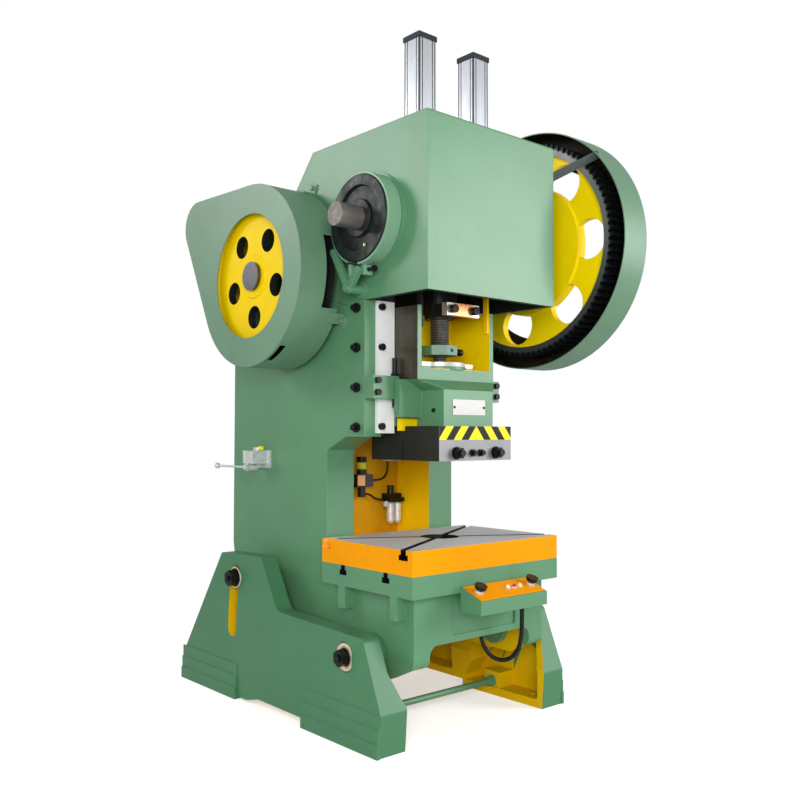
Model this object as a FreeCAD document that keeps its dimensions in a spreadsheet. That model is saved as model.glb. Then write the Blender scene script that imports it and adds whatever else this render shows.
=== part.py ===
import FreeCAD, Part
import math
import os
import Sketcher

# Inclinable C-frame stamping press, in millimetres.
# X points to the operator's right, Y points to the back, Z points up.
# The origin is on the floor, in the middle of the four anchor holes.
# The slide is drawn at the bottom of its stroke with the ball screw drawn fully in.

Vector = FreeCAD.Vector
ALONG_X = FreeCAD.Rotation(Vector(0, 1, 0), 90)
ALONG_Y = FreeCAD.Rotation(Vector(1, 0, 0), -90)
ALONG_Z = FreeCAD.Rotation()

DRIVING = [
    # name, value, meaning
    ("die_axis", -435, "slide, shank and crank axis, from the middle of the anchor holes"),
    ("frame_half", 314, "half width of the frame over its side plates"),
    ("side_wall", 30, "side plate of the lower body"),
    ("throat_depth", 260, "slide axis to the uprights"),
    ("window_half", 190, "half width between the uprights"),
    ("window_low", 600, "sill of the opening through the back"),
    ("window_high", 1180, "top of the opening through the back"),
    ("body_back", 470, "back edge of the frame"),
    ("body_front", -646, "front wall of the lower body"),
    ("table_top", 558, "height of the table under the bolster"),
    ("table_ledge", 72, "thickness of the table's ledge"),
    ("bolster_width", 710, "bolster, left to right"),
    ("bolster_depth", 480, "bolster, front to back"),
    ("bolster_thick", 82, "bolster thickness"),
    ("bolster_front", -685, "front edge of the bolster and table"),
    ("bolster_hole", 70, "radius of the hole in the bolster"),
    ("slot_mouth", 22, "width of a T-slot's mouth"),
    ("slot_head", 38, "width of a T-slot's head"),
    ("slot_lip", 16, "depth of a T-slot's mouth"),
    ("slot_deep", 34, "whole depth of a T-slot"),
    ("slot_angle", 30, "angle of the bolster's diagonal slots"),
    ("shut_height", 360, "table to slide at the bottom of the stroke"),
    ("stroke", 130, "slide stroke"),
    ("screw_travel", 80, "die height adjustment"),
    ("shank_bore", 25, "radius of the shank hole"),
    ("shank_deep", 80, "depth of the shank hole"),
    ("column_front", -390, "front face of the column over the throat"),
    ("column_low", 1000, "lower end of the column's slideways"),
    ("head_front", -710, "front of the head"),
    ("head_low", 1474, "underside of the head"),
    ("head_top", 2061, "top of the head"),
    ("head_back", -78, "back end of the head's top"),
    ("head_shoulder", 1440, "height where the slanted back ends"),
    ("head_wall", 24, "front and side walls of the head"),
    ("head_roof", 30, "roof of the head"),
    ("crank_height", 1740, "height of the crank axis"),
    ("journal", 60, "radius of the crank's journals"),
    ("crank_pin", 45, "radius of the crank pin"),
    ("pin_play", 67.5, "room left round the crank pin in the open linkage"),
    ("bush_wall", 12, "wall of the crank bushes"),
    ("crank_boss", 165, "radius of the bosses round the crank"),
    ("drive_y", 36, "flywheel shaft axis, front to back, at 9 mm x 110 teeth"),
    ("drive_z", 1588, "height of the flywheel shaft axis, at 9 mm x 110 teeth"),
    ("drive_shaft", 42, "radius of the flywheel shaft"),
    ("gear_module", 9, "module of the gears"),
    ("gear_teeth", 92, "teeth of the bull gear"),
    ("pinion_teeth", 18, "teeth of the pinion"),
    ("gear_near", 156, "press-side face of the bull gear, from the frame's side"),
    ("gear_wide", 95, "face width of the bull gear"),
    ("flywheel_radius", 300, "outer radius of the flywheel"),
    ("flywheel_far", 191, "outer face of the flywheel, from the frame's side"),
    ("flywheel_near", 36, "press-side face of the flywheel, from the frame's side"),
    ("pulley_radius", 72, "outer radius of the motor pulley"),
    ("motor_y", 503, "motor axis, behind the back end of the head's top"),
    ("motor_z", -223, "motor axis, above the head's top"),
    ("motor_radius", 118, "radius of the motor's frame"),
    ("guard_sheet", 4, "sheet thickness of the guards"),
    ("leg_out", 130, "outer face of the legs, from the frame's side"),
    ("leg_plate", 20, "side plate of a leg"),
    ("leg_flange", 66, "depth of a leg's upper flanges"),
    ("leg_foot", 109, "depth of a leg's flange along the floor"),
    ("leg_gap", 2, "gap between the bosses of a leg and the frame"),
    ("pivot_y", -450, "pivot of the inclinable frame, front to back"),
    ("pivot_z", 281, "height of the pivot"),
    ("pivot_bolt", 20, "radius of the pivot bolts"),
    ("swing_radius", 705.6, "pivot to the clamping bolts of the curved slots"),
    ("swing_top", 14.5, "angle of the clamping bolts above the pivot, in degrees"),
    ("swing", 15, "how far the frame leans back, in degrees"),
    ("anchor_x", 136, "anchor holes, left to right, beyond the frame's width"),
    ("anchor_y", 1100, "anchor holes, front to back"),
    ("anchor_hole", 14, "radius of an anchor hole"),
    ("gib_edge", 191, "inner edge of the front gibs"),
    ("ear_half", 226, "half width of the slide over its guide ears"),
    ("channel_half", 240, "half width of the guide channel"),
    ("slide_half", 189, "half width of the slide"),
    ("ball", 45, "radius of the ball"),
    ("rod_length", 445, "crank pin to ball"),
    ("screw_radius", 34, "radius of the ball screw"),
    ("cylinder_x", 134.5, "balance cylinders, from the middle"),
    ("cylinder_y", -475, "balance cylinders, front to back"),
    ("cylinder_side", 78, "side of a balance cylinder's square barrel"),
    ("cylinder_high", 358, "height of a balance cylinder"),
    ("fit_gap", 0.3, "clearance of pieces that move past each other"),
    ("seat_gap", 0.12, "clearance of pieces that are pressed or bolted together"),
]


class Size:
    """A value together with the spreadsheet formula that gives it."""

    def __init__(self, value, formula=None):
        self.value = float(value)
        self.formula = formula or "%.8g" % value

    def _with(self, sign, other, value):
        return Size(value, "(%s %s %s)" % (self.formula, sign, other.formula))

    def __add__(self, other):
        other = size(other)
        return self._with("+", other, self.value + other.value)

    def __radd__(self, other):
        return size(other) + self

    def __sub__(self, other):
        other = size(other)
        return self._with("-", other, self.value - other.value)

    def __rsub__(self, other):
        return size(other) - self

    def __mul__(self, other):
        other = size(other)
        return self._with("*", other, self.value * other.value)

    def __rmul__(self, other):
        return size(other) * self

    def __truediv__(self, other):
        other = size(other)
        return self._with("/", other, self.value / other.value)

    def __neg__(self):
        return Size(-self.value, "(0 - %s)" % self.formula)


def size(value):
    return value if isinstance(value, Size) else Size(value)


def cosine(degrees):
    degrees = size(degrees)
    return Size(math.cos(math.radians(degrees.value)), "cos(%s)" % degrees.formula)


def sine(degrees):
    degrees = size(degrees)
    return Size(math.sin(math.radians(degrees.value)), "sin(%s)" % degrees.formula)


doc = FreeCAD.newDocument("stamping_press")
sheet = doc.addObject("Spreadsheet::Sheet", "Sizes")


class Sizes:
    """The driving dimensions, by name."""


for row, (alias, number, meaning) in enumerate(DRIVING, 1):
    sheet.set("A%d" % row, meaning)
    sheet.set("B%d" % row, str(number))
    sheet.setAlias("B%d" % row, alias)
    setattr(Sizes, alias, Size(number, "Sizes." + alias))
doc.recompute()
s = Sizes


def named(alias, made, meaning):
    """Gives a worked-out value a cell and a name of its own in the sheet."""
    line = len(DRIVING) + 1 + sum(1 for _ in vars(Sizes) if _.startswith("at_"))
    sheet.set("A%d" % line, meaning)
    sheet.set("B%d" % line, "=" + made.formula.replace("Sizes.", ""))
    sheet.setAlias("B%d" % line, "at_" + alias)
    setattr(Sizes, "at_" + alias, made)
    return Size(made.value, "Sizes.at_" + alias)


# Places that follow the frame's width, the head's top and the gears.  The flywheel shaft keeps its direction
# from the crank and goes out or in with the gears' pitch circles.
gear_near = named("gear_near", s.frame_half + s.gear_near, "near face of the bull gear, from the middle")
flywheel_far = named("flywheel_far", s.frame_half + s.flywheel_far,
                     "outer face of the flywheel, from the middle")
flywheel_near = named("flywheel_near", s.frame_half + s.flywheel_near,
                      "near face of the flywheel, from the middle")
leg_out = named("leg_out", s.frame_half + s.leg_out, "outer face of the legs, from the middle")
anchor_x = named("anchor_x", 2 * s.frame_half + s.anchor_x, "anchor holes, left to right")
motor_y = named("motor_y", s.head_back + s.motor_y, "motor axis, front to back")
motor_z = named("motor_z", s.head_top + s.motor_z, "height of the motor axis")
mesh = s.gear_module * (s.gear_teeth + s.pinion_teeth) / 990
drive_y = named("drive_y", s.die_axis + (s.drive_y - s.die_axis) * mesh, "flywheel shaft, front to back")
drive_z = named("drive_z", s.crank_height + (s.drive_z - s.crank_height) * mesh, "flywheel shaft, height")
doc.recompute()

# ---------------------------------------------------------------- building blocks


def bind(item, prop, value):
    item.setExpression(prop, size(value).formula)


def put(item, x=0, y=0, z=0, rotation=ALONG_Z):
    """Places an object, with its position bound to the sheet."""
    x, y, z = size(x), size(y), size(z)
    item.Placement = FreeCAD.Placement(Vector(x.value, y.value, z.value), rotation)
    for letter, value in (("x", x), ("y", y), ("z", z)):
        bind(item, "Placement.Base." + letter, value)
    return item


def block(name, low, high):
    """A box between two corners."""
    item = doc.addObject("Part::Box", name)
    for prop, a, b in zip(("Length", "Width", "Height"), low, high):
        bind(item, prop, size(b) - size(a))
    return put(item, *low)


def rod(name, radius, length, x=0, y=0, z=0, rotation=ALONG_X):
    """A cylinder from a point, along X unless told otherwise."""
    item = doc.addObject("Part::Cylinder", name)
    bind(item, "Radius", radius)
    bind(item, "Height", length)
    return put(item, x, y, z, rotation)


def ball(name, radius, x=0, y=0, z=0):
    item = doc.addObject("Part::Sphere", name)
    bind(item, "Radius", radius)
    return put(item, x, y, z)


def cone(name, radius, end_radius, length, x=0, y=0, z=0, rotation=ALONG_X):
    item = doc.addObject("Part::Cone", name)
    bind(item, "Radius1", radius)
    bind(item, "Radius2", end_radius)
    bind(item, "Height", length)
    return put(item, x, y, z, rotation)


def hexagon(name, across, height, x=0, y=0, z=0, rotation=ALONG_X):
    """A six-sided nut or bolt head, by its width across flats."""
    item = doc.addObject("Part::Prism", name)
    item.Polygon = 6
    bind(item, "Circumradius", size(across) / math.sqrt(3))
    bind(item, "Height", height)
    return put(item, x, y, z, rotation)


def fuse(name, *items):
    joined = doc.addObject("Part::MultiFuse", name)
    joined.Shapes = list(items)
    joined.Refine = True
    return joined


def cut(name, base, *tools):
    removed = tools[0]
    if len(tools) > 1:
        removed = doc.addObject("Part::MultiFuse", name + "_cuts")
        removed.Shapes = list(tools)
    left = doc.addObject("Part::Cut", name)
    left.Base = base
    left.Tool = removed
    left.Refine = True
    return left


def group(name, items):
    """Separate solids that share one node."""
    together = doc.addObject("Part::Compound", name)
    together.Links = list(items)
    return together


def mirrored(name, source):
    """The right-hand twin of a left-hand piece."""
    twin = doc.addObject("Part::Mirroring", name)
    twin.Source = source
    twin.Normal = Vector(1, 0, 0)
    return twin


NODES = []


def node(label, item):
    """Marks an object as a finished sub-part of the press."""
    item.Label = label
    NODES.append(item)
    return item


# ---------------------------------------------------------------- sketched features


def new_body(name):
    return doc.addObject("PartDesign::Body", name)


def new_sketch(body, name, plane, offset=0, u=0, v=0):
    """A sketch on one of the body's origin planes, moved along its normal."""
    sketch = body.newObject("Sketcher::SketchObject", name)
    face = [f for f in body.Origin.OriginFeatures if f.Role == plane + "_Plane"][0]
    sketch.AttachmentSupport = (face, [""])
    sketch.MapMode = "FlatFace"
    for letter, value in (("x", u), ("y", v), ("z", offset)):
        bind(sketch, "AttachmentOffset.Base." + letter, value)
    return sketch


def hold(sketch, kind, *refs):
    sketch.addConstraint(Sketcher.Constraint(kind, *refs))


def held(sketch, kind, refs, value):
    value = size(value)
    index = sketch.addConstraint(Sketcher.Constraint(kind, *refs, value.value))
    sketch.setExpression("Constraints[%d]" % index, value.formula)


def pin_point(sketch, geometry, end, u, v):
    held(sketch, "DistanceX", (-1, 1, geometry, end), u)
    held(sketch, "DistanceY", (-1, 1, geometry, end), v)


def add_arc(sketch, centre, radius, first, last):
    """An arc from first to last; returns its number and the ends that meet them."""
    left_turn = (first - centre).cross(last - centre).z > 0
    start, stop = (first, last) if left_turn else (last, first)
    from_angle = math.atan2(start.y - centre.y, start.x - centre.x)
    to_angle = math.atan2(stop.y - centre.y, stop.x - centre.x)
    if to_angle < from_angle:
        to_angle += 2 * math.pi
    circle = Part.Circle(centre, Vector(0, 0, 1), radius)
    number = sketch.addGeometry(Part.ArcOfCircle(circle, from_angle, to_angle))
    return (number, 1, 2) if left_turn else (number, 2, 1)


def outline(sketch, corners):
    """A closed outline; a corner is (u, v), or (u, v, radius) where it is rounded."""
    points = [Vector(size(c[0]).value, size(c[1]).value, 0) for c in corners]
    bends = []
    for i, corner in enumerate(corners):
        if len(corner) == 2:
            bends.append((points[i], points[i], None))
            continue
        radius = size(corner[2]).value
        back = (points[i - 1] - points[i]).normalize()
        ahead = (points[(i + 1) % len(points)] - points[i]).normalize()
        half = back.getAngle(ahead) / 2
        reach = radius / math.tan(half)
        centre = points[i] + (back + ahead).normalize() * (radius / math.sin(half))
        bends.append((points[i] + back * reach, points[i] + ahead * reach, centre))
    lines = [sketch.addGeometry(Part.LineSegment(bends[i][1], bends[(i + 1) % len(bends)][0]))
             for i in range(len(bends))]
    for i, corner in enumerate(corners):
        before, after = lines[i - 1], lines[i]
        entry, leave, centre = bends[i]
        if centre is None:
            hold(sketch, "Coincident", before, 2, after, 1)
            pin_point(sketch, after, 1, corner[0], corner[1])
            continue
        arc, at_entry, at_leave = add_arc(sketch, centre, size(corner[2]).value, entry, leave)
        hold(sketch, "Tangent", before, 2, arc, at_entry)
        hold(sketch, "Tangent", arc, at_leave, after, 1)
        held(sketch, "Radius", (arc,), corner[2])
        apex = sketch.addGeometry(Part.Point(points[i]), True)
        hold(sketch, "PointOnObject", apex, 1, before)
        hold(sketch, "PointOnObject", apex, 1, after)
        pin_point(sketch, apex, 1, corner[0], corner[1])


def circle(sketch, u, v, radius):
    centre = Vector(size(u).value, size(v).value, 0)
    number = sketch.addGeometry(Part.Circle(centre, Vector(0, 0, 1), size(radius).value))
    pin_point(sketch, number, 3, u, v)
    held(sketch, "Radius", (number,), radius)


def wrap(sketch, first, second):
    """The outline of a band stretched round two circles, each (u, v, radius)."""
    centres = [Vector(size(c[0]).value, size(c[1]).value, 0) for c in (first, second)]
    radii = [size(c[2]).value for c in (first, second)]
    along = centres[1] - centres[0]
    heading = math.atan2(along.y, along.x)
    lean = math.acos((radii[0] - radii[1]) / along.Length)
    ends = []
    for centre, radius in zip(centres, radii):
        for side in (-1, 1):
            angle = heading + side * lean
            ends.append(centre + Vector(math.cos(angle), math.sin(angle), 0) * radius)
    low_1, high_1, low_2, high_2 = ends
    arcs = []
    spans = ((centres[0], radii[0], heading + lean, heading - lean + 2 * math.pi),
             (centres[1], radii[1], heading - lean, heading + lean))
    for centre, radius, start, stop in spans:
        ring = Part.Circle(centre, Vector(0, 0, 1), radius)
        arcs.append(sketch.addGeometry(Part.ArcOfCircle(ring, start, stop)))
    under = sketch.addGeometry(Part.LineSegment(low_1, low_2))
    over = sketch.addGeometry(Part.LineSegment(high_2, high_1))
    hold(sketch, "Tangent", arcs[0], 2, under, 1)
    hold(sketch, "Tangent", under, 2, arcs[1], 1)
    hold(sketch, "Tangent", arcs[1], 2, over, 1)
    hold(sketch, "Tangent", over, 2, arcs[0], 1)
    for arc, (u, v, radius) in zip(arcs, (first, second)):
        pin_point(sketch, arc, 3, u, v)
        held(sketch, "Radius", (arc,), radius)


def extrude(kind, body, sketch, length, side="One side", reverse=False):
    feature = body.newObject("PartDesign::" + kind, sketch.Name + "_" + kind.lower())
    feature.Profile = (sketch, [""])
    feature.SideType = side
    feature.Reversed = reverse
    bind(feature, "Length", length)
    return feature


def pad(body, sketch, length, **options):
    return extrude("Pad", body, sketch, length, **options)


def slab(body, sketch, whole_length):
    """A pad that runs evenly to both sides of its sketch."""
    return extrude("Pad", body, sketch, whole_length, side="Symmetric")


def hollow(body, sketch, whole_length):
    """A pocket that runs evenly to both sides of its sketch."""
    return extrude("Pocket", body, sketch, whole_length, side="Symmetric")


def rectangle(sketch, low_u, low_v, high_u, high_v, radius=None):
    corners = [(low_u, low_v), (high_u, low_v), (high_u, high_v), (low_u, high_v)]
    if radius is not None:
        corners = [corner + (radius,) for corner in corners]
    outline(sketch, corners)


def turned(name, profile, x=0, y=0, z=0):
    """A piece turned on a lathe about X; profile is the half section as (x, radius)."""
    body = new_body(name)
    sketch = new_sketch(body, name + "_profile", "XZ")
    outline(sketch, profile)
    turn = body.newObject("PartDesign::Revolution", name + "_turned")
    turn.Profile = (sketch, [""])
    turn.ReferenceAxis = (sketch, ["H_Axis"])
    turn.Angle = 360
    put(body, x, y, z)
    return body


def repeat_round(body, features, sketch, count):
    """A polar pattern of features about the body's X axis."""
    pattern = body.newObject("PartDesign::PolarPattern", features[-1].Name + "_pattern")
    pattern.Originals = features
    axis = [f for f in body.Origin.OriginFeatures if f.Role == "X_Axis"][0]
    pattern.Axis = (axis, [""])
    pattern.Angle = 360
    bind(pattern, "Occurrences", count)
    body.Tip = pattern
    return pattern


# ---------------------------------------------------------------- worked-out places

bolster_top = s.table_top + s.bolster_thick
slide_low = s.table_top + s.shut_height
upright_front = s.die_axis + s.throat_depth
crank_radius = s.stroke / 2
crank_pin_z = s.crank_height - crank_radius
ball_z = crank_pin_z - s.rod_length
gear_pitch = s.gear_module * s.gear_teeth / 2
pinion_pitch = s.gear_module * s.pinion_teeth / 2
gear_far = gear_near + s.gear_wide
leg_in = s.frame_half + s.leg_gap
clamp_y = s.pivot_y + s.swing_radius * cosine(s.swing_top)
clamp_z = s.pivot_z + s.swing_radius * sine(s.swing_top)
gib_bolt_y = s.column_front + 38
gib_bolt_heights = [s.column_low + 32 + 139 * i for i in range(4)]
SIDES = ((-1, "left"), (1, "right"))

# ---------------------------------------------------------------- legs


def make_leg():
    """The left leg: a ribbed casting, open towards the frame."""
    body = new_body("leg_cast")
    corners = [(-629, 0), (-220, 0), (-218, 28), (68, 30), (151, 10), (216, 10), (218, 0),
               (637, 0), (641, 86, 6), (616, 140, 10), (338, 544, 18), (58, 553, 14),
               (-52, 370, 40), (-548, 354, 22), (-638, 130, 20)]
    side = new_sketch(body, "leg_side", "YZ", -leg_out)
    outline(side, corners)
    pad(body, side, s.leg_foot)
    # The upper flanges are narrower than the one along the floor.
    flange = new_sketch(body, "leg_flange_edge", "XZ")
    edge = -leg_out + s.leg_flange
    foot = -leg_out + s.leg_foot
    outline(flange, [(edge, 600), (edge, 246, 60), (foot - 3, 142, 20), (foot + 10, 142), (foot + 10, 600)])
    hollow(body, flange, 3000)
    # Cells between the outer flange and the ribs.
    cells = [
        [(-606, 30, 12), (-216, 30, 12), (-270, 115, 14), (-190, 348, 12), (-532, 328, 14), (-607, 132, 12)],
        [(-160, 56, 12), (70, 56, 12), (150, 250, 12), (150, 520, 12), (80, 526, 12), (-30, 345, 14),
         (-128, 343, 12)],
        [(300, 34, 12), (606, 34, 12), (608, 84, 12), (322, 514, 12), (300, 514, 12)],
    ]
    for number, cell in enumerate(cells):
        sketch = new_sketch(body, "leg_cell_%d" % number, "YZ", -leg_out + s.leg_plate)
        outline(sketch, cell)
        extrude("Pocket", body, sketch, s.leg_foot, reverse=True)
    # Stepped pads on the outside of both feet.
    for number, (low_y, high_y) in enumerate(((-634, -220), (216, 640))):
        for step, (proud, high_z) in enumerate(((4, 132), (8, 88), (12, 44))):
            sketch = new_sketch(body, "foot_step_%d_%d" % (number, step), "YZ", -leg_out)
            rectangle(sketch, low_y, 0, high_y, high_z)
            pad(body, sketch, proud, reverse=True)
    holes = new_sketch(body, "anchor_holes", "XY")
    for sign in (-1, 1):
        circle(holes, -anchor_x / 2, sign * s.anchor_y / 2, s.anchor_hole)
    hollow(body, holes, 120)
    # Long seat of the pivot bolt's washer.
    seat = new_sketch(body, "pivot_seat", "YZ", -leg_out)
    rectangle(seat, s.pivot_y - 40, s.pivot_z - 50, s.pivot_y + 40, s.pivot_z + 50, 39)
    hollow(body, seat, 16)
    return body


def curved_slot(name, half_width, first_angle, last_angle, x, length):
    """A slot that follows the frame's clamping bolts as it leans back."""
    ring = cut(name + "_ring",
               rod(name + "_outer", s.swing_radius + half_width, length, x, s.pivot_y, s.pivot_z),
               rod(name + "_inner", s.swing_radius - half_width, length, x, s.pivot_y, s.pivot_z))
    wedge = doc.addObject("Part::Cylinder", name + "_wedge")
    bind(wedge, "Radius", s.swing_radius * 1.5)
    bind(wedge, "Height", length)
    bind(wedge, "Angle", size(last_angle) - size(first_angle))
    # The cylinder's own X axis starts at the first angle in the Y-Z plane.
    turn = FreeCAD.Rotation(Vector(1, 0, 0), 90 + size(first_angle).value)
    put(wedge, x, s.pivot_y, s.pivot_z, turn.multiply(ALONG_X))
    span = doc.addObject("Part::Common", name + "_span")
    span.Base = ring
    span.Tool = wedge
    ends = []
    for number, angle in enumerate((first_angle, last_angle)):
        ends.append(rod("%s_end_%d" % (name, number), half_width, length, x,
                        s.pivot_y + s.swing_radius * cosine(angle),
                        s.pivot_z + s.swing_radius * sine(angle)))
    return fuse(name, span, *ends)


slot_first = s.swing_top - s.swing - 1.2
slot_last = s.swing_top + 1.6
slot_wall = curved_slot("slot_wall", 54, slot_first, slot_last, -leg_out, leg_out - leg_in)
slot_open = curved_slot("slot_open", 29, slot_first, slot_last, -leg_out - 20,
                        leg_out - leg_in + 40)
pivot_wall = rod("pivot_wall", 62, leg_out - leg_in - 8, -leg_out + 8, s.pivot_y, s.pivot_z)
pivot_open = rod("pivot_open", s.pivot_bolt + 0.1, leg_out, -leg_out - 10, s.pivot_y, s.pivot_z)
tie_y, tie_z = size(-372), size(52)
tie_face = leg_out - s.leg_foot + 8
tie_boss = block("tie_boss", (-leg_out + s.leg_plate / 2, tie_y - 40, 4),
                 (-tie_face, tie_y + 40, tie_z + 36))
tie_open = rod("tie_open", 12 + s.seat_gap, 60, -tie_face - 40, tie_y, tie_z)
leg_left = node("leg_left", cut(
    "leg_left", fuse("leg_bosses", make_leg(), slot_wall, pivot_wall, tie_boss),
    slot_open, pivot_open, tie_open))
leg_right = node("leg_right", mirrored("leg_right", leg_left))

tie_half = tie_face + 38
tie_parts = [rod("tie_bar", 12, 2 * tie_half, -tie_half, tie_y, tie_z)]
for sign, side in SIDES:
    tie_parts.append(rod("tie_washer_" + side, 22, 5, sign * (tie_face - 2.5) - 2.5, tie_y, tie_z))
    tie_parts.append(hexagon("tie_nut_" + side, 36, 19, sign * (tie_face - 14.5) - 9.5, tie_y, tie_z))
node("leg_tie_rod", fuse("leg_tie_rod", *tie_parts))


def big_bolt(name, face, tip, y, z, radius, across, washer):
    """A hexagon bolt along X with a washer; face is where its washer bears, on the left."""
    return fuse(name,
                rod(name + "_shank", radius, size(tip) - face + 1, face - 1, y, z),
                rod(name + "_washer", washer, 7, size(face) - 7, y, z),
                hexagon(name + "_head", across, 26, size(face) - 33, y, z),
                rod(name + "_end", size(radius) * 0.62, 8, size(face) - 41, y, z))


pivot_left = big_bolt("pivot_bolt_left", -leg_out + 8, -s.frame_half + 56, s.pivot_y, s.pivot_z,
                      s.pivot_bolt, 50, 29)
node("pivot_bolts", group("pivot_bolts", [pivot_left, mirrored("pivot_bolt_right", pivot_left)]))

# ---------------------------------------------------------------- frame casting


def make_frame():
    body = new_body("frame_cast")
    # Side view of the C: table, throat, column, head and slanted back.
    view = new_sketch(body, "frame_side", "YZ")
    outline(view, [
        (s.body_front, 258, 30), (-519, 199, 30), (-330, 199, 60), (300, 300, 40), (440, 408, 40),
        (s.body_back, s.table_top + 10, 60), (s.body_back, s.head_shoulder, 30),
        (s.head_back, s.head_top, 12), (s.head_front, s.head_top, 8), (s.head_front, s.head_low),
        (s.column_front, s.head_low), (s.column_front, s.column_low), (s.die_axis + 150, s.column_low, 20),
        (upright_front, s.column_low - 50, 20), (upright_front, s.table_top), (s.body_front, s.table_top)])
    slab(body, view, 2 * s.frame_half)
    ledge = new_sketch(body, "table_ledge", "XY", s.table_top - s.table_ledge / 2)
    rectangle(ledge, -s.bolster_width / 2, s.bolster_front, s.bolster_width / 2,
              s.bolster_front + s.bolster_depth)
    slab(body, ledge, s.table_ledge)
    # Cast ribs under the ledge, flush with its sides.
    for number, (low_y, high_y, low_z) in enumerate(((-605, -574, 408), (-336, -297, 410))):
        lug = new_sketch(body, "ledge_lug_%d" % number, "YZ")
        rectangle(lug, low_y, low_z, high_y, s.table_top - s.table_ledge + 2)
        slab(body, lug, s.bolster_width)
    # Bosses: crank, flywheel shaft, gear side.
    boss = new_sketch(body, "crank_bosses", "YZ")
    circle(boss, s.die_axis, s.crank_height, s.crank_boss)
    slab(body, boss, 2 * s.frame_half + 16)
    boss = new_sketch(body, "drive_bosses", "YZ")
    circle(boss, drive_y, drive_z, 100)
    slab(body, boss, 2 * s.frame_half + 24)
    for name, y, z, radius in (("gear_boss", s.die_axis, s.crank_height, 105),
                               ("pinion_boss", drive_y, drive_z, 80)):
        boss = new_sketch(body, name, "YZ", s.frame_half)
        circle(boss, y, z, radius)
        pad(body, boss, gear_near - 40 - s.frame_half)
    # Opening between the uprights, through to the back, and up behind the slide.
    room = new_sketch(body, "window", "YZ")
    outline(room, [(s.column_front - 10, s.window_low), (s.body_back + 10, s.window_low),
                   (s.body_back + 10, s.window_high), (s.column_front + 145, s.window_high, 30),
                   (s.column_front + 145, s.head_low + 186), (s.column_front - 10, s.head_low + 186)])
    hollow(body, room, 2 * s.window_half)
    room = new_sketch(body, "head_room", "YZ")
    rectangle(room, s.head_front + s.head_wall, s.head_low - 14, s.column_front, s.head_top - s.head_roof)
    hollow(body, room, 2 * (s.frame_half - s.head_wall))
    room = new_sketch(body, "crank_room", "YZ")
    rectangle(room, s.column_front - 10, s.head_low + 120, s.column_front + 160, s.head_top - s.head_roof)
    hollow(body, room, 2 * s.window_half)
    # Behind the throat the frame is two side plates, with a chamber between them.
    room = new_sketch(body, "back_room", "YZ")
    rectangle(room, 25, s.table_top + 82, s.body_back - 30, s.head_shoulder - 40, 30)
    hollow(body, room, 2 * (s.frame_half - s.side_wall))
    # Guide channel of the slide's ears.
    channel = new_sketch(body, "guide_channel", "YZ")
    rectangle(channel, s.column_front - 1, s.column_low - 10, s.column_front + 60, s.head_low + 181)
    hollow(body, channel, 2 * s.channel_half)
    # Inner bearing bosses of the crank.
    for sign, side in SIDES:
        boss = new_sketch(body, "inner_boss_" + side, "YZ", sign * s.window_half)
        circle(boss, s.die_axis, s.crank_height, 105)
        pad(body, boss, s.frame_half - s.window_half - 5, reverse=sign < 0)
    # Hollow under the table, with the arch in its front wall.
    room = new_sketch(body, "under_table", "YZ")
    rectangle(room, s.body_front + 30, 100, 395, s.table_top - s.table_ledge - 46, 30)
    hollow(body, room, 2 * (s.frame_half - s.side_wall))
    arch = new_sketch(body, "front_arch", "XZ", -s.body_front - 15)
    outline(arch, [(-s.frame_half + 70, 100), (s.frame_half - 70, 100),
                   (s.frame_half - 70, 318, 34), (-s.frame_half + 70, 318, 34)])
    hollow(body, arch, 60)
    for sign, side in SIDES:
        boss = new_sketch(body, "pivot_pad_" + side, "YZ", sign * (s.frame_half - s.side_wall + 2))
        circle(boss, s.pivot_y, s.pivot_z, 58)
        pad(body, boss, 28, reverse=sign > 0)
    # T-slots across the table, and the hole under the bolster's own.
    for number, y in enumerate((s.bolster_front + 132, s.bolster_front + 359)):
        slot = new_sketch(body, "table_slot_%d" % number, "YZ")
        top = s.table_top + 1
        neck = s.table_top - s.slot_lip
        floor = s.table_top - s.slot_deep
        mouth, head = s.slot_mouth / 2, s.slot_head / 2
        outline(slot, [(y - mouth, top), (y - mouth, neck), (y - head, neck), (y - head, floor),
                       (y + head, floor), (y + head, neck), (y + mouth, neck), (y + mouth, top)])
        hollow(body, slot, s.bolster_width + 2)
    hole = new_sketch(body, "table_hole", "XY", s.table_top - 60)
    circle(hole, 0, s.die_axis, s.bolster_hole + 5)
    hollow(body, hole, 140)
    panel = new_sketch(body, "front_recess", "XZ", -s.body_front)
    rectangle(panel, -143, 340, 170, 474, 12)
    hollow(body, panel, 12)
    # Bores.
    for name, y, z, radius in (("crank_bore", s.die_axis, s.crank_height, s.journal + s.bush_wall),
                               ("drive_bore", drive_y, drive_z, s.drive_shaft + 8),
                               ("pivot_bore", s.pivot_y, s.pivot_z, s.pivot_bolt + 0.05),
                               ("clamp_bore", clamp_y, clamp_z, 16)):
        bore = new_sketch(body, name, "YZ")
        circle(bore, y, z, radius)
        hollow(body, bore, 4 * s.frame_half)
    bores = new_sketch(body, "gib_bolt_bores", "YZ")
    for height in gib_bolt_heights:
        circle(bores, gib_bolt_y, height, 10)
    hollow(body, bores, 3 * s.frame_half)
    bores = new_sketch(body, "balance_rod_bores", "XY", s.head_top)
    for sign, _ in SIDES:
        circle(bores, sign * s.cylinder_x, s.cylinder_y, 11)
    hollow(body, bores, 4 * s.head_roof)
    return body


node("frame_casting", make_frame())

# ---------------------------------------------------------------- bolster


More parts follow.
